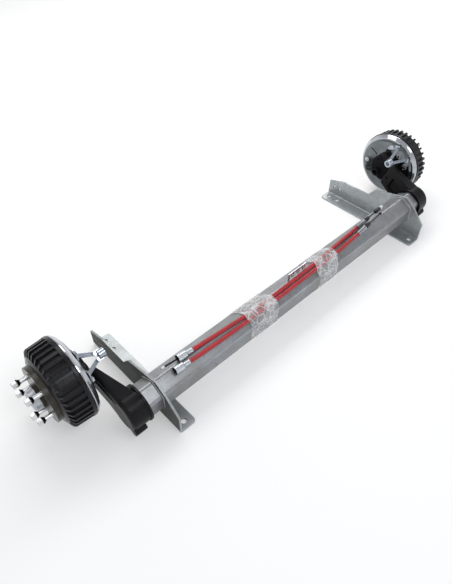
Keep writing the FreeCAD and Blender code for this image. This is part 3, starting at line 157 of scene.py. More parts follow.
class Wiring:
    """Adds nodes to a tree. An input takes a plain value or the output of another node."""

    def __init__(self, tree):
        self.tree = tree

    def feed(self, target, value):
        if isinstance(value, bpy.types.NodeSocket):
            self.tree.links.new(value, target)
        else:
            target.default_value = (*value, 1.0) if target.type == "RGBA" else value

    def add(self, kind, inputs=None, **settings):
        node = self.tree.nodes.new(kind)
        for key, value in settings.items():
            setattr(node, key, value)
        for key, value in (inputs or {}).items():
            self.feed(node.inputs[key], value)
        return node

    def place(self):
        """Object coordinates, which run on from piece to piece."""
        return self.add("ShaderNodeTexCoord").outputs["Object"]

    def split(self, vector):
        return self.add("ShaderNodeSeparateXYZ", {"Vector": vector}).outputs

    def math(self, operation, first, second=0.0, clamp=False):
        node = self.add("ShaderNodeMath", {0: first, 1: second}, operation=operation, use_clamp=clamp)
        return node.outputs[0]

    def ramp(self, source, low, high, low_value=0.0, high_value=1.0):
        """Turns a value between low and high into one between low_value and high_value."""
        return self.add("ShaderNodeMapRange", {"Value": source, "From Min": low, "From Max": high,
                                               "To Min": low_value, "To Max": high_value}).outputs["Result"]

    def noise(self, vector, scale, detail=4.0, roughness=0.55, output="Fac"):
        return self.add("ShaderNodeTexNoise", {"Vector": vector, "Scale": scale, "Detail": detail,
                                               "Roughness": roughness}).outputs[output]

    def blend(self, mask, first, second):
        """Mixes two colours, first where the mask is 0 and second where it is 1."""
        return self.add("ShaderNodeMix", {"Factor": mask, 6: first, 7: second}, data_type="RGBA").outputs[2]


def new_group(name, inputs, outputs):
    """An empty node group, its wiring, and the sockets that bring its values in and out."""
    group = bpy.data.node_groups.new(name, "ShaderNodeTree")
    for label, value in inputs.items():
        socket = group.interface.new_socket(label, in_out="INPUT", socket_type="NodeSocketFloat")
        socket.default_value = value
    for label in outputs:
        group.interface.new_socket(label, in_out="OUTPUT", socket_type="NodeSocketFloat")
    wires = Wiring(group)
    return group, wires, wires.add("NodeGroupInput").outputs, wires.add("NodeGroupOutput").inputs


# %% Worn edges and painted edge highlights
# One edge mask serves both for rubbed edges and for painted highlights along edges.
rubbed_edge_highlight_group, wires, given, result = new_group("worn_and_highlit edges", {"Width": 0.0015, "Break Up": 60.0}, ["Mask"])
rounded = wires.add("ShaderNodeBevel", {"Radius": given["Width"]}, samples=BEVEL_SAMPLES).outputs["Normal"]
sharp = wires.add("ShaderNodeNewGeometry").outputs["Normal"]
compared = wires.add("ShaderNodeVectorMath", {0: rounded, 1: sharp}, operation="DOT_PRODUCT")
patches = wires.noise(wires.place(), given["Break Up"], detail=6.0, roughness=0.7)
edge = wires.ramp(compared.outputs["Value"], 0.995, 0.90)
wires.feed(result["Mask"], wires.math("MULTIPLY", edge, wires.ramp(patches, 0.45, 0.62), clamp=True))

# %% Settled dust
dust_group, wires, given, result = new_group("settled dust", {"Scale": 25.0}, ["Mask"])
upward = wires.split(wires.add("ShaderNodeNewGeometry").outputs["Normal"])["Z"]
clouds = wires.noise(wires.place(), given["Scale"], detail=8.0, roughness=0.65)
lying = wires.ramp(upward, 0.1, 1.0)
wires.feed(result["Mask"], wires.math("MULTIPLY", lying, wires.ramp(clouds, 0.35, 0.75), clamp=True))

# %% Zinc crystals
CRYSTAL_BEND = (0.012, 0.012, 0.012)

spangle_group, wires, given, result = new_group("zinc crystals", {"Scale": 140.0}, ["Shade", "Relief"])
spot = wires.place()
swirl = wires.noise(spot, 40.0, detail=3.0, roughness=0.5, output="Color")
bent = wires.add("ShaderNodeVectorMath", {0: swirl, 1: CRYSTAL_BEND, 2: spot}, operation="MULTIPLY_ADD")
cells = wires.add("ShaderNodeTexVoronoi", {"Vector": bent.outputs["Vector"], "Scale": given["Scale"],
                                           "Randomness": 1.0})
shade = wires.add("ShaderNodeSeparateColor", {"Color": cells.outputs["Color"]}).outputs["Red"]
fine = wires.math("MULTIPLY", wires.noise(spot, 900.0, detail=3.0), 0.6)
wires.feed(result["Shade"], shade)
wires.feed(result["Relief"], wires.math("ADD", wires.math("MULTIPLY", shade, 0.5), fine))
print("effects:", [group.name for group in bpy.data.node_groups])

# %% [markdown]
# ## Finishes
#
# Each finish is one Principled shader. Its coat, gloss and index of refraction are plain numbers
# on the shader, while noise and the shared masks vary its colour, roughness and bump. Metalness
# is a plain number too, apart from the galvanised plates, whose outside faces lose it where they
# are darkened with painted shade and made duller.

# %% Start a material
def new_material(name, **plain):
    """A material, its wiring and its shader's inputs. plain are the shader's constant values."""
    material = bpy.data.materials.new(name)
    material.use_nodes = True
    wires = Wiring(material.node_tree)
    shader = material.node_tree.nodes["Principled BSDF"].inputs
    for label, value in plain.items():
        wires.feed(shader[label.replace("_", " ")], value)
    return material, wires, shader


def effect(wires, group, **values):
    named = {label.replace("_", " "): value for label, value in values.items()}
    return wires.add("ShaderNodeGroup", named, node_tree=group).outputs


def shade_of(tone, factor):
    """A colour made lighter or darker, no lighter than white."""
    return [min(1, part * factor) for part in tone]


def bump(wires, shader, height, strength, distance, round_by=0.0):
    """Adds relief, and with round_by makes sharp edges catch the light as rounded ones do."""
    relief = wires.add("ShaderNodeBump", {"Strength": strength, "Distance": distance, "Height": height})
    if round_by:
        rounded = wires.add("ShaderNodeBevel", {"Radius": round_by}, samples=BEVEL_SAMPLES)
        wires.feed(relief.inputs["Normal"], rounded.outputs["Normal"])
    wires.feed(shader["Normal"], relief.outputs["Normal"])


# %% [markdown]
# Some pieces change their finish partway, such as a bolt with a blackened taper. The change is
# at a place along the axle or at a distance from the axis that the wheel turns on, so a mask
# measures that and fades over about a millimetre.

# %% Where a finish changes
# The hub's axis is in millimetres, the places of change in metres. COLLAR is where a band starts
# and ends, the other pairs are just before and just after a change
HUB = HUB_Y, HUB_Z = 49.24, 135.23
BARE_IRON_FROM = 0.757
COLLAR = (0.7925, 0.8005)
COLLAR_FADE = 0.0006
EYE_END = (-0.507, -0.505)
ROD_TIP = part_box("wire_rod_upper")[1][0] - 0.014
PLUG_CHANGE = (0.072, 0.070)
RIM_HIGHLIGHT_START = (0.101, 0.104)


def along_axle(wires):
    return wires.split(wires.place())["X"]


def away_from_middle(wires):
    """Distance from the middle of the axle along its length, the same on both sides."""
    return wires.math("ABSOLUTE", along_axle(wires))


def from_hub_axis(wires):
    spot = wires.split(wires.place())
    across = wires.math("SUBTRACT", spot["Y"], HUB_Y * MM)
    raised = wires.math("SUBTRACT", spot["Z"], HUB_Z * MM)
    squares = [wires.math("MULTIPLY", side, side) for side in (across, raised)]
    return wires.math("SQRT", wires.math("ADD", *squares))


def past(wires, value, place):
    """A mask that goes from 0 to 1 within a millimetre of a place."""
    return wires.ramp(value, place - 0.001, place + 0.001)


def bolt_collar(wires):
    """The blackened taper between a wheel bolt's head and its thread."""
    low, high = COLLAR
    reach = away_from_middle(wires)
    rise = wires.ramp(reach, low - COLLAR_FADE, low + COLLAR_FADE)
    fall = wires.ramp(reach, high + COLLAR_FADE, high - COLLAR_FADE)
    return wires.math("MULTIPLY", rise, fall, clamp=True)


def bare_eye(wires):
    """The near wires are black up to their bright eyes."""
    return wires.ramp(along_axle(wires), *EYE_END)


def rod_tip(wires):
    """The pull rods are black up to their bright tips."""
    return past(wires, along_axle(wires), ROD_TIP)


def near_hub_plug(wires):
    """Of the two plugs in a backplate, the one close to the arm is rubber and the outer one is bright."""
    return wires.ramp(from_hub_axis(wires), *PLUG_CHANGE)


def rim_highlight(wires):
    """The rolled rim of a backplate is coloured brighter than its middle, a painted highlight."""
    return wires.ramp(from_hub_axis(wires), *RIM_HIGHLIGHT_START)


# %% Hot-dip galvanised steel
def galvanised_steel(name, tone, stain, stain_amount, outside_shade_and_dullness=0.0):
    """Zinc crystals, long runs of paler zinc, a dull stain, and duller outside faces darkened with painted
    shade.
    """
    material, wires, shader = new_material(name)
    spot = wires.place()
    crystals = effect(wires, spangle_group, Scale=120.0)
    stretched = wires.add("ShaderNodeMapping", {"Vector": spot, "Scale": (2.0, 14.0, 14.0)}).outputs["Vector"]
    runs = wires.noise(stretched, 3.0, detail=6.0)
    clouds = wires.noise(spot, 9.0, detail=8.0, roughness=0.6)
    rubbed_edge_highlight = effect(wires, rubbed_edge_highlight_group, Width=0.0016, Break_Up=45.0)
    colour = wires.blend(wires.ramp(crystals["Shade"], 0.0, 1.0), shade_of(tone, 0.88), shade_of(tone, 1.08))
    colour = wires.blend(wires.ramp(runs, 0.5, 0.75, 0.0, 0.55), colour, shade_of(tone, 1.35))
    colour = wires.blend(wires.ramp(clouds, 0.42, 0.70, 0.0, stain_amount), colour, stain)
    # Paler edges: worn zinc, and also a painted highlight along the corners.
    colour = wires.blend(wires.ramp(rubbed_edge_highlight["Mask"], 0.0, 1.0, 0.0, 0.7), colour, shade_of(tone, 1.9))
    # Faces that look outward, away from the middle of the axle, are darkened as painted shade, and made
    # rougher and less metallic.
    facing = wires.split(wires.add("ShaderNodeNewGeometry").outputs["True Normal"])["X"]
    outward = wires.math("MULTIPLY", wires.math("SIGN", wires.split(spot)["X"]), facing)
    dull = wires.ramp(outward, 0.6, 0.9, 0.0, outside_shade_and_dullness)
    wires.feed(shader["Base Color"], wires.blend(dull, colour, shade_of(stain, 0.16)))
    wires.feed(shader["Metallic"], wires.ramp(dull, 0.0, 1.0, 0.55, 0.0))
    rough = wires.math("ADD", wires.ramp(clouds, 0.3, 0.7, 0.24, 0.40),
                       wires.math("MULTIPLY", crystals["Shade"], 0.08))
    wires.feed(shader["Roughness"], wires.math("ADD", rough, wires.math("MULTIPLY", dull, 0.45)))
    bump(wires, shader, crystals["Relief"], 0.2, 0.0004, round_by=0.0015)
    return material


galvanised = galvanised_steel("galvanised steel", (0.28, 0.29, 0.305), (0.19, 0.18, 0.155), 0.6)
# The plates' outside faces carry painted shade.
galvanised_plate = galvanised_steel("galvanised plate", (0.36, 0.385, 0.40), (0.25, 0.245, 0.21), 0.5,
                                    outside_shade_and_dullness=0.85)
print("galvanised steel ready")


# %% Black paint on castings
def black_paint(name, tone, grain, grain_depth, roughness, gloss, bare_from=None):
    """Thin paint over a sand casting: grainy, dusty on top, rubbed through at edges, with a painted highlight
    there.
    """
    material, wires, shader = new_material(name, Specular_IOR_Level=gloss)
    spot = wires.place()
    cloud = wires.noise(spot, 14.0, detail=6.0)
    dust = effect(wires, dust_group, Scale=30.0)
    rubbed_edge_highlight = effect(wires, rubbed_edge_highlight_group, Width=0.0014, Break_Up=70.0)
    colour = wires.blend(wires.ramp(cloud, 0.35, 0.7), tone, shade_of(tone, 1.5))
    colour = wires.blend(wires.ramp(dust["Mask"], 0.0, 1.0, 0.0, 0.035), colour, (0.22, 0.21, 0.19))
    # Lighter edges: paint rubbed through, and also a painted highlight along the edges.
    colour = wires.blend(wires.ramp(rubbed_edge_highlight["Mask"], 0.0, 1.0, 0.0, 0.30), colour, (0.14, 0.14, 0.15))
    if bare_from:
        patches = wires.ramp(wires.noise(spot, 60.0), 0.35, 0.7)
        iron = wires.blend(patches, (0.060, 0.052, 0.042), (0.032, 0.030, 0.027))
        colour = wires.blend(past(wires, away_from_middle(wires), bare_from), colour, iron)
    wires.feed(shader["Base Color"], colour)
    wires.feed(shader["Roughness"], wires.ramp(cloud, 0.3, 0.75, roughness - 0.08, roughness + 0.12))
    sand = wires.noise(spot, grain, detail=5.0, roughness=0.6)
    bump(wires, shader, sand, 0.35, grain_depth, round_by=0.0014)
    return material


drum_paint = black_paint("drum paint", (0.007, 0.007, 0.009), 420.0, 0.0004, 0.24, 0.20, BARE_IRON_FROM)
arm_paint = black_paint("arm paint", (0.006, 0.006, 0.007), 300.0, 0.0005, 0.34, 0.12)


# %% Zinc plate, steel and iron
def plated(name, tone, roughness, tint, metallic=0.95, grain=250.0, relief=0.05, other=None):
    """Bright plating with a faint tint, cloudy shine and fine scratches.

    other is a second colour and the rule that gives its mask from the wiring."""
    material, wires, shader = new_material(name, Metallic=metallic)
    spot = wires.place()
    cloud = wires.noise(spot, 22.0, detail=5.0)
    colour = wires.blend(wires.ramp(cloud, 0.38, 0.68), tone, tint)
    if other:
        second, mask_rule = other
        colour = wires.blend(mask_rule(wires), colour, second)
    wires.feed(shader["Base Color"], colour)
    wires.feed(shader["Roughness"], wires.ramp(cloud, 0.3, 0.75, roughness - 0.05, roughness + 0.08))
    bump(wires, shader, wires.noise(spot, grain), relief, 0.0003)
    return material


BLACKENED = (0.02, 0.02, 0.02)
zinc = plated("zinc plate", (0.54, 0.56, 0.58), 0.32, (0.38, 0.41, 0.45))
bolt_zinc = plated("wheel bolt zinc", (0.66, 0.67, 0.68), 0.20, (0.50, 0.52, 0.54),
                   other=(BLACKENED, bolt_collar))
dull_zinc = plated("dull zinc", (0.30, 0.32, 0.34), 0.34, (0.20, 0.21, 0.22))
wire_steel = plated("wire and eye", (0.58, 0.58, 0.58), 0.3, (0.44, 0.44, 0.45), other=(BLACKENED, bare_eye))
rod_steel = plated("pull rod", (0.05, 0.05, 0.055), 0.38, (0.10, 0.10, 0.10),
                   other=((0.70, 0.71, 0.72), rod_tip))
plug_zinc = plated("plug", (0.60, 0.62, 0.62), 0.25, (0.48, 0.50, 0.50),
                   other=((0.012, 0.012, 0.012), near_hub_plug))
# The backplate's rim is coloured brighter than its dark middle, a painted highlight.
backplate_zinc = plated("backplate zinc", (0.18, 0.195, 0.20), 0.13, (0.11, 0.125, 0.13), relief=0.02,
                        other=((0.46, 0.48, 0.51), rim_highlight))
bracket_zinc = plated("cable bracket zinc", (0.46, 0.50, 0.56), 0.2, (0.30, 0.33, 0.38), relief=0.02)
bearing_steel = plated("ground steel", (0.62, 0.62, 0.62), 0.22, (0.52, 0.52, 0.53))
cast_iron = plated("bare iron", (0.14, 0.13, 0.12), 0.6, (0.22, 0.17, 0.13), metallic=0.6, grain=500.0)
lining = plated("brake lining", (0.16, 0.13, 0.10), 0.8, (0.24, 0.19, 0.14), metallic=0.0, grain=700.0)


# %% Rubber and the red casings
def moulded(name, tone, roughness, grain, depth, coat=0.0):
    material, wires, shader = new_material(name, Coat_Weight=coat, Coat_Roughness=0.2)
    spot = wires.place()
    cloud = wires.noise(spot, 30.0, detail=5.0)
    wires.feed(shader["Base Color"], wires.blend(wires.ramp(cloud, 0.35, 0.7), tone, shade_of(tone, 0.72)))
    wires.feed(shader["Roughness"], wires.ramp(cloud, 0.3, 0.75, roughness - 0.05, roughness + 0.1))
    bump(wires, shader, wires.noise(spot, grain), 0.2, depth)
    return material


red_casing = moulded("red casing", (0.42, 0.008, 0.016), 0.36, 240.0, 0.0003, coat=0.10)
black_rubber = moulded("black rubber", (0.018, 0.018, 0.019), 0.6, 400.0, 0.0004)


# %% Clear film
def clear_film():
    """Thin film is nearly all see-through; its creases catch the light and turn it white."""
    material, wires, shader = new_material("clear film", Base_Color=(0.84, 0.84, 0.85), IOR=1.35)
    spot = wires.place()
    creases = wires.add("ShaderNodeTexVoronoi", {"Vector": spot, "Scale": 45.0, "Randomness": 1.0},
                        feature="DISTANCE_TO_EDGE").outputs["Distance"]
    crease_line = wires.ramp(creases, 0.10, 0.0)
    cloud = wires.noise(spot, 26.0, detail=6.0, roughness=0.65)
    opacity = wires.math("ADD", wires.ramp(cloud, 0.42, 0.72, 0.10, 0.55),
                         wires.math("MULTIPLY", crease_line, 0.35), clamp=True)
    wires.feed(shader["Alpha"], opacity)
    wires.feed(shader["Roughness"], wires.ramp(cloud, 0.3, 0.7, 0.10, 0.35))
    bump(wires, shader, wires.math("ADD", wires.math("MULTIPLY", crease_line, 0.6), cloud), 0.6, 0.002)
    return material


film = clear_film()
print("finishes:", len(bpy.data.materials))

# %% [markdown]
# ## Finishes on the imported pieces
#
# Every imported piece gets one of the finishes. The longest matching start of its name decides,
# so one line serves a left and a right piece.

# %% Assign the finishes
FINISHES = {
    "axle_tube": galvanised, "bracket": galvanised_plate, "rubber_cords": black_rubber,
    "brake_cable": red_casing,
    "cable_bells": zinc, "cable_sleeves": dull_zinc, "cable_gaiters": black_rubber, "film_wrap": film,
    "clamp_strip": zinc, "wire_rod": rod_steel, "wire_eye": wire_steel, "swing_arm": arm_paint,
    "torsion_bar": bearing_steel, "stub_axle": bearing_steel, "backplate": backplate_zinc,
    "cable_bracket": bracket_zinc, "bracket_screws": zinc, "backplate_screws": arm_paint,
    "inspection_plugs": plug_zinc, "brake_shoe": lining, "shoe_springs": zinc, "expander": zinc,
    "brake_anchor": cast_iron, "bearing": bearing_steel, "axle_nut": zinc, "brake_drum": drum_paint,
    "circlip": bearing_steel, "grease_cap": zinc, "wheel_bolts": bolt_zinc,
}
for name, node in nodes.items():
    best = max((key for key in FINISHES if name.startswith(key)), key=len)
    node.data.materials.clear()
    node.data.materials.append(FINISHES[best])
print("finished", len(nodes), "packed pieces")

# %% [markdown]
# ## The brake cables
#
# A casing is one smooth line, so each is a curve with a round section. Its control points are
# the route along the tube's upper front face: a place along the axle, a distance up the face
# and the gap under the casing, all in millimetres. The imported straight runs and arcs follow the
# same points.

# %% Lay the cables
CASING_RADIUS = 6.0
TUBE = TUBE_Y, TUBE_Z = -102.4, 84.2
TUBE_FLATS, TUBE_CORNER = 84.0, 13.0
COS_30, TAN_30 = math.cos(math.pi / 6), math.tan(math.pi / 6)
CABLE_ROUTES = {
    "upper": ((-427, 53.5, 5.4), (-340, 47.0, 0.3), (-200, 39.8, 0.4), (-60, 41.0, 0.3), (75, 45.5, 0.3),
              (175, 52.0, 0.3), (240, 56.5, 0.6), (300, 60.5, 4.2)),
    "lower": ((-453, 32.5, 5.4), (-350, 26.8, 0.3), (-190, 26.5, 0.3), (-40, 27.5, 0.3), (100, 30.5, 0.3),
              (205, 33.5, 0.6), (277, 39.5, 5.0)),
}


def on_circle(middle, radius, turned):
    """Y and Z of a point on a circle seen along the axle."""
    return middle[0] + radius * math.cos(turned), middle[1] + radius * math.sin(turned)


def tube_surface(along, lift):
    """A point of the tube's section, measured up its front top face, in millimetres."""
    half = TUBE_FLATS / 2
    side = half / COS_30
    flat = side - TUBE_CORNER * TAN_30
    if along <= flat:
        return (TUBE_Y - half + along * COS_30 - lift / 2,
                TUBE_Z + side / 2 + along / 2 + lift * COS_30)
    turned = math.radians(120) - (along - flat) / (TUBE_CORNER + lift)
    corner = TUBE_Y, TUBE_Z + side - TUBE_CORNER / COS_30
    return on_circle(corner, TUBE_CORNER + lift, turned)


def cable_points(name):
    points = []
    for x, along, gap in CABLE_ROUTES[name]:
        y, z = tube_surface(along, CASING_RADIUS + gap)
        points.append(Vector((x, y, z)) * MM)
    return points


def lay_cable(name):
    curve = bpy.data.curves.new(f"casing_{name}", "CURVE")
    curve.dimensions = "3D"
    curve.resolution_u = 12
    curve.bevel_depth = CASING_RADIUS * MM
    curve.bevel_resolution = 6
    curve.use_fill_caps = True
    spline = curve.splines.new("NURBS")
    points = cable_points(name)
    spline.points.add(len(points) - 1)
    for control, point in zip(spline.points, points):
        control.co = (*point, 1)
    spline.order_u = 3
    spline.use_endpoint_u = True
    casing = bpy.data.objects.new(f"casing_{name}", curve)
    bpy.context.scene.collection.objects.link(casing)
    curve.materials.append(red_casing)
    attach(casing, "axle_beam")
    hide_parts(f"brake_cable_{name}")


for name in CABLE_ROUTES:
    lay_cable(name)
print("cables laid:", list(CABLE_ROUTES))

# %% [markdown]
# ## The clear film
#
# Thin film was wound round the tube and the cables, so it bridges from cable to cable and
# shrinks into creases. Its section is the tightest line round the tube and both cables, found
# here by the lines that touch them from every direction. A grid along that line gets ridged
# noise for the creases and uneven edges, and then a thin wall.

# %% The line round tube and cables
FILM_DIRECTIONS = 144
FILM_ROWS = 176
FILM_STEP = 2.6
FILM_LIFT = 0.5
FILM_WALL = 0.12
FILM_INSET = 6
CREASES_ALONG, CREASES_ROUND, FINER = 0.10, 2.6, 2.7
CREASE_HEIGHT, FINE_HEIGHT = 1.6, 0.9


def tube_rounds():
    """The tube's six rounded corners, each with its middle and radius."""
    reach = (TUBE_FLATS / 2 - TUBE_CORNER) / COS_30
    return [(*on_circle(TUBE, reach, math.radians(30 + 60 * corner)), TUBE_CORNER) for corner in range(6)]


def cable_round(name, x):
    """The casing's middle where it crosses a plane at x."""
    route = CABLE_ROUTES[name]
    for (x0, along0, gap0), (x1, along1, gap1) in zip(route, route[1:]):
        if x0 <= x <= x1:
            part = (x - x0) / (x1 - x0)
            gap = CASING_RADIUS + gap0 + (gap1 - gap0) * part
            return *tube_surface(along0 + (along1 - along0) * part, gap), CASING_RADIUS


def tight_line(x, lift):
    """Evenly spaced points of the tightest line round the tube and both cables."""
    rounds = tube_rounds() + [cable_round(name, x) for name in CABLE_ROUTES]
    turns = [2 * math.pi * i / FILM_DIRECTIONS for i in range(FILM_DIRECTIONS)]
    reach = [max(y * math.cos(t) + z * math.sin(t) + radius for y, z, radius in rounds) + lift for t in turns]
    corners = []
    for i, turn in enumerate(turns):
        after = (i + 1) % FILM_DIRECTIONS
        sine = math.sin(turns[after] - turn)
        corners.append(Vector(((reach[i] * math.sin(turns[after]) - reach[after] * math.sin(turn)) / sine,
                               (reach[after] * math.cos(turn) - reach[i] * math.cos(turns[after])) / sine)))
    lengths = [(corner - after).length for corner, after in zip(corners, corners[1:] + corners[:1])]
    around = sum(lengths)
    points, index, passed = [], 0, 0.0
    for row in range(FILM_ROWS):
        target = around * row / FILM_ROWS
        while passed + lengths[index] < target:
            passed += lengths[index]
            index += 1
        part = (target - passed) / max(lengths[index], 1e-9)
        points.append(corners[index].lerp(corners[(index + 1) % len(corners)], part))
    return points, around


def crease(x, row, seed):
    """Sharp ridges that run mostly across the axle, in millimetres above the tight line."""
    turn = 2 * math.pi * row / FILM_ROWS
    spot = Vector((x * CREASES_ALONG + seed, CREASES_ROUND * math.cos(turn), CREASES_ROUND * math.sin(turn)))
    ridge = 1 - abs(noise.noise(spot))
    fine = 1 - abs(noise.noise(spot * FINER + Vector((7.1, 3.3, seed))))
    return CREASE_HEIGHT * ridge ** 6 + FINE_HEIGHT * fine ** 8


def ragged(row, seed, reach):
    """How far the film's edge wanders at a row, in millimetres."""
    turn = 2 * math.pi * row / FILM_ROWS
    return reach * noise.noise(Vector((seed, 1.7 * math.cos(turn), 1.7 * math.sin(turn)))) * 2


# %% Wind the two films
# Start, end, seed of the creases, unevenness of the edges and slant, in millimetres
FILMS = {"left": (-246, -125, 3.1, 5.0, 0.0), "right": (43, 147, 8.7, 6.0, 9.0)}


def wind_film(side):
    start, end, seed, uneven, slant = FILMS[side]
    columns = round((end - start) / FILM_STEP)
    mesh = bmesh.new()
    rings, around = [], 0.0
    for column in range(columns + 1):
        part = column / columns
        line, around = tight_line(start + (end - start) * part, FILM_LIFT)
        middle = sum(line, Vector((0, 0))) / FILM_ROWS
        ring = []
        for row, point in enumerate(line):
            lean = slant * math.cos(2 * math.pi * row / FILM_ROWS - 1.2)
            x_start = start + FILM_INSET + ragged(row, seed, uneven) + lean
            x_end = end - FILM_INSET + ragged(row, seed + 20, uneven) + lean
            x = x_start + (x_end - x_start) * part
            outward = (point - middle).normalized()
            y, z = point + outward * crease(x, row, seed)
            ring.append(mesh.verts.new(Vector((x, y, z)) * MM))
        rings.append(ring)
    for first, second in zip(rings, rings[1:]):
        for row in range(FILM_ROWS):
            after = (row + 1) % FILM_ROWS
            mesh.faces.new((first[row], first[after], second[after], second[row]))
    bmesh.ops.recalc_face_normals(mesh, faces=mesh.faces)
    data = bpy.data.meshes.new(f"film_{side}")
    mesh.to_mesh(data)
    mesh.free()
    sheet = bpy.data.objects.new(f"film_{side}", data)
    bpy.context.scene.collection.objects.link(sheet)
    pick(sheet)
    wall = sheet.modifiers.new("wall", "SOLIDIFY")
    wall.thickness = FILM_WALL * MM
    wall.offset = 0
    bpy.ops.object.modifier_apply(modifier=wall.name)
    finish_piece(sheet, f"film_{side}", "axle_beam", film, smooth_angle=50)
    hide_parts(f"film_wrap_{side}")


for side in FILMS:
    wind_film(side)

# %% [markdown]
# ## Weld beads
#
# Each bracket plate is welded all round the tube on both faces. A bead of weld is a fillet whose
# surface shows the rhythm of the torch, so a round section follows the tube's outline and
# swells a little at every ripple. A curve gives each point its own thickness, which a swept
# mesh can't do so simply. It then becomes a mesh.

# %% Lay the beads
BEAD_RADIUS = 2.6
BEAD_RIPPLE = 3.4
WEB_OUTSIDE, WEB_INSIDE = 550.0, 544.0
BEAD_SPACING = 1.1
BEAD_LIFT = 0.8
SWELL, SLOW_SWELL, SLOW_TURN = 0.16, 0.10, 0.071


def tube_outline(lift, spacing):
    """Evenly spaced points round the tube's section."""
    corners = []
    for index, (y, z, radius) in enumerate(tube_rounds()):
        for step in range(-6, 7):
            turned = math.radians(30 + 60 * index + 5 * step)
            corners.append(Vector(on_circle((y, z), radius + lift, turned)))
    points = []
    for first, second in zip(corners, corners[1:] + corners[:1]):
        count = max(1, round((second - first).length / spacing))
        points += [first.lerp(second, i / count) for i in range(count)]
    return points


def swept_line(name, points, radius, thickness, closed=False):
    """A round bar along points in millimetres. thickness gives the share of the radius at a point."""
    curve = bpy.data.curves.new(name, "CURVE")
    curve.dimensions = "3D"
    curve.bevel_depth = radius * MM
    curve.bevel_resolution = 2
    curve.use_fill_caps = not closed
    spline = curve.splines.new("POLY")
    spline.points.add(len(points) - 1)
    spline.use_cyclic_u = closed
    for index, (control, point) in enumerate(zip(spline.points, points)):
        control.co = (*(Vector(point) * MM), 1)
        control.radius = thickness(index)
    bar = bpy.data.objects.new(name, curve)
    bpy.context.scene.collection.objects.link(bar)
    pick(bar)
    bpy.ops.object.convert(target="MESH")
    bar = bpy.context.object
    bpy.ops.object.mode_set(mode="EDIT")
    bpy.ops.mesh.select_all(action="SELECT")
    bpy.ops.mesh.remove_doubles(threshold=0.00001)
    bpy.ops.mesh.normals_make_consistent(inside=False)
    bpy.ops.object.mode_set(mode="OBJECT")
    return bar


def ripple(index):
    along = index * BEAD_SPACING
    quick = SWELL * abs(math.sin(math.pi * along / BEAD_RIPPLE))
    return 1.0 + quick + SLOW_SWELL * math.sin(along * SLOW_TURN)


for side, sign in SIDES.items():
    for face, x in (("outer", WEB_OUTSIDE + BEAD_LIFT), ("inner", WEB_INSIDE - BEAD_LIFT)):
        line = [(sign * x, point.x, point.y) for point in tube_outline(BEAD_LIFT, BEAD_SPACING)]
        bead = swept_line(f"weld_{side}_{face}", line, BEAD_RADIUS, ripple, closed=True)
        finish_piece(bead, f"weld_{side}_{face}", "axle_beam", galvanised_plate,
                     smooth_angle=60)
print("beads laid:", len(line), "points each")

# %% [markdown]
# ## Parting lines of the cast arms
#
# The swing arm came out of a sand mould in two halves. Its outside face keeps a raised parting
# line that tapers at both ends. Its points are given along the lever and across it.

# %% Draw the parting lines
ARM_ANGLE = math.radians(18.6)
ARM_LINE = ((27, 23), (38, 20.2), (54, 17.4), (78, 16.4), (102, 16), (122, 14.2), (139, 12))
ARM_FACE, ARM_FACE_SLOPE, ARM_FACE_FLAT = 648.0, 9 / 166, 50.0
SEAM_RADIUS, SEAM_LIFT = 2.4, 0.2
SEAM_TIP, SEAM_GROWTH = 0.25, 0.3


def on_arm(sign, x, along, across):
    y = TUBE_Y + along * math.cos(ARM_ANGLE) - across * math.sin(ARM_ANGLE)
    z = TUBE_Z + along * math.sin(ARM_ANGLE) + across * math.cos(ARM_ANGLE)
    return sign * x, y, z


def arm_face(along):
    return ARM_FACE + max(0.0, along - ARM_FACE_FLAT) * ARM_FACE_SLOPE


def tapered(index):
    from_end = len(ARM_LINE) - 1 - index
    return min(1.0, SEAM_TIP + index * SEAM_GROWTH, SEAM_TIP + from_end * SEAM_GROWTH)


for side, sign in SIDES.items():
    line = [on_arm(sign, arm_face(along) + SEAM_LIFT, along, across) for along, across in ARM_LINE]
    seam = swept_line(f"arm_line_{side}", line, SEAM_RADIUS, tapered)
    finish_piece(seam, f"arm_line_{side}", f"arm_{side}", drum_paint, smooth_angle=60)
    print(seam.name, len(seam.data.polygons), "faces")


# %% [markdown]
# ## Bosses and pressed domes
#
# The screw at the foot of the arm's head stands in a deep round boss, turned in the casting. The
# backplate has two domes pressed out of its sheet beside the feet of the cable bracket. A boss
# starts as a cylinder whose end is inset and pushed in, and a dome as a sphere that is cut in
# half and flattened, with a skirt drawn out into the sheet.

# %% Turn the bosses
BOSS_ANGLE, SCREW_CIRCLE = math.radians(313.6), 37.6
BOSS_RADIUS, BOSS_HEIGHT, BOSS_RIM, BOSS_SINK = 14.5, 10.0, 5.0, 6.5
BOSS_ROUNDING = 1.3
HEAD_FACE = 651.0
BOSS_MIDDLE = HEAD_FACE - BOSS_HEIGHT / 2 + 1.5
FACING = 0.9


def select_faces(piece, rule):
    """Leaves edit mode with only the faces selected whose middle and normal pass the rule."""
    pick(piece)
    bpy.ops.object.mode_set(mode="EDIT")
    bpy.ops.mesh.select_mode(type="FACE")
    bpy.ops.mesh.select_all(action="DESELECT")
    bpy.ops.object.mode_set(mode="OBJECT")
    for face in piece.data.polygons:
        face.select = rule(face.center, face.normal)
    bpy.ops.object.mode_set(mode="EDIT")


def soften(piece, width):
    pick(piece)
    rounding = piece.modifiers.new("rounding", "BEVEL")
    rounding.width = width * MM
    rounding.segments = 3
    rounding.limit_method = "ANGLE"
    rounding.angle_limit = math.radians(30)
    bpy.ops.object.modifier_apply(modifier=rounding.name)


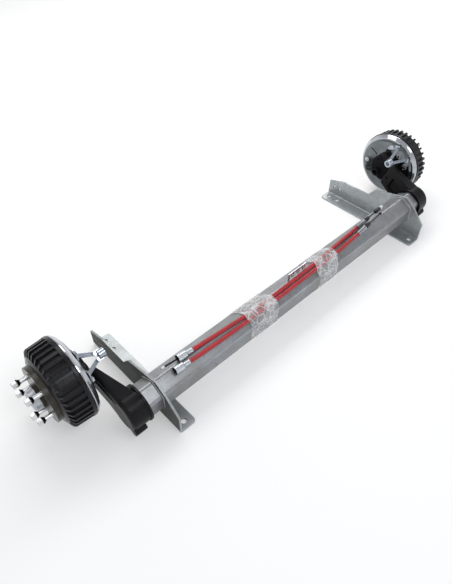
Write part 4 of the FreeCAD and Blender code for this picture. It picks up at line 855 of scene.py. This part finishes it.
for side, sign in SIDES.items():
    clear_selection()
    middle = Vector((sign * BOSS_MIDDLE, *on_circle(HUB, SCREW_CIRCLE, BOSS_ANGLE)))
    bpy.ops.mesh.primitive_cylinder_add(vertices=48, radius=BOSS_RADIUS * MM, depth=BOSS_HEIGHT * MM,
                                        location=middle * MM, rotation=(0, math.pi / 2, 0))
    boss = settle(bpy.context.object)
    select_faces(boss, lambda place_at, normal: normal.x * sign < -FACING)
    bpy.ops.mesh.inset(thickness=BOSS_RIM * MM)
    bpy.ops.mesh.extrude_region_move(TRANSFORM_OT_translate={"value": (sign * BOSS_SINK * MM, 0, 0)})
    bpy.ops.object.mode_set(mode="OBJECT")
    soften(boss, BOSS_ROUNDING)
    finish_piece(boss, f"head_boss_{side}", f"arm_{side}", arm_paint)
print("bosses:", len(boss.data.polygons), "faces each")

# %% Press the domes
DOMES, DOME_CIRCLE = {"upper": 89.3, "lower": 158.7}, 74.0
DOME_RADIUS, DOME_FLAT = 10.0, 0.45
DOME_LIFT, SKIRT_DEPTH, SKIRT_SPREAD = 0.6, 0.8, 1.25
PLATE_FACE = 668.0

for side, sign in SIDES.items():
    for label, angle in DOMES.items():
        middle = Vector((sign * (PLATE_FACE + DOME_LIFT), *on_circle(HUB, DOME_CIRCLE, math.radians(angle))))
        clear_selection()
        bpy.ops.mesh.primitive_uv_sphere_add(segments=40, ring_count=24, radius=DOME_RADIUS * MM,
                                             location=middle * MM)
        dome = bpy.context.object
        dome.scale = (DOME_FLAT, 1, 1)
        settle(dome)
        bpy.ops.object.mode_set(mode="EDIT")
        bpy.ops.mesh.select_all(action="SELECT")
        bpy.ops.mesh.bisect(plane_co=middle * MM, plane_no=(sign, 0, 0), use_fill=True, clear_outer=True)
        bpy.ops.object.mode_set(mode="OBJECT")
        select_faces(dome, lambda place_at, normal: normal.x * sign > FACING
                     and abs(place_at.x - middle.x * MM) < 0.0001)
        bpy.ops.mesh.extrude_region_move(TRANSFORM_OT_translate={"value": (sign * SKIRT_DEPTH * MM, 0, 0)})
        bpy.ops.transform.resize(value=(1, SKIRT_SPREAD, SKIRT_SPREAD), center_override=middle * MM)
        bpy.ops.mesh.select_all(action="SELECT")
        bpy.ops.mesh.normals_make_consistent(inside=False)
        bpy.ops.object.mode_set(mode="OBJECT")
        # The domes take the brighter cable bracket zinc rather than the backplate's own, a painted highlight
        # on the pressed sheet.
        finish_piece(dome, f"dome_{label}_{side}", f"arm_{side}", bracket_zinc, smooth_angle=50)
print("domes:", len(dome.data.polygons), "faces each")

# %% [markdown]
# ## Floor and light
#
# The picture has a plain white ground. The floor is pale, and a little glow of its own lifts it
# to white for the camera and for what mirrors it. The sky is white at the horizon and dimmer
# overhead, so the sheet steel has something to mirror. Three large lamps stand where the bright
# streaks on the real metal come from.

# %% Floor
FLOOR_SIZE, FLOOR_DROP = 14, 0.0005

clear_selection()
bpy.ops.mesh.primitive_plane_add(size=FLOOR_SIZE, location=(0, 0, -FLOOR_DROP))
floor = bpy.context.object
floor.name = "floor"
floor_material, wires, shader = new_material("pale floor", Base_Color=(FLOOR_TONE, FLOOR_TONE, FLOOR_TONE),
                                             Roughness=0.95, Specular_IOR_Level=0.0, Emission_Color=(1, 1, 1))
ray = wires.add("ShaderNodeLightPath").outputs
mirrored = wires.math("MAXIMUM", ray["Is Glossy Ray"], ray["Is Transmission Ray"])
seen = wires.math("MAXIMUM", ray["Is Camera Ray"], mirrored)
wires.feed(shader["Emission Strength"], wires.math("MULTIPLY", seen, FLOOR_LIFT))
floor.data.materials.append(floor_material)

# %% World
world = bpy.data.worlds.new("studio")
bpy.context.scene.world = world
world.use_nodes = True
wires = Wiring(world.node_tree)
height = wires.split(wires.add("ShaderNodeTexCoord").outputs["Generated"])["Z"]
sky = wires.blend(wires.ramp(height, 0.22, 0.5), SKY_LOW, SKY_HIGH)
wires.feed(world.node_tree.nodes["Background"].inputs["Color"], sky)


# %% Lamps
def soft_lamp(name, place_at, target, size, power, tint):
    data = bpy.data.lights.new(name, "AREA")
    data.shape = "RECTANGLE"
    data.size, data.size_y = size
    data.energy = power
    data.color = tint
    lamp = bpy.data.objects.new(name, data)
    bpy.context.scene.collection.objects.link(lamp)
    lamp.location = place_at
    aim = Vector(target) - Vector(place_at)
    lamp.rotation_euler = aim.to_track_quat("-Z", "Y").to_euler()


for lamp in LAMPS:
    soft_lamp(*lamp)
bpy.context.scene.view_settings.view_transform = "Standard"
print("stage and", len(LAMPS), "lamps set")
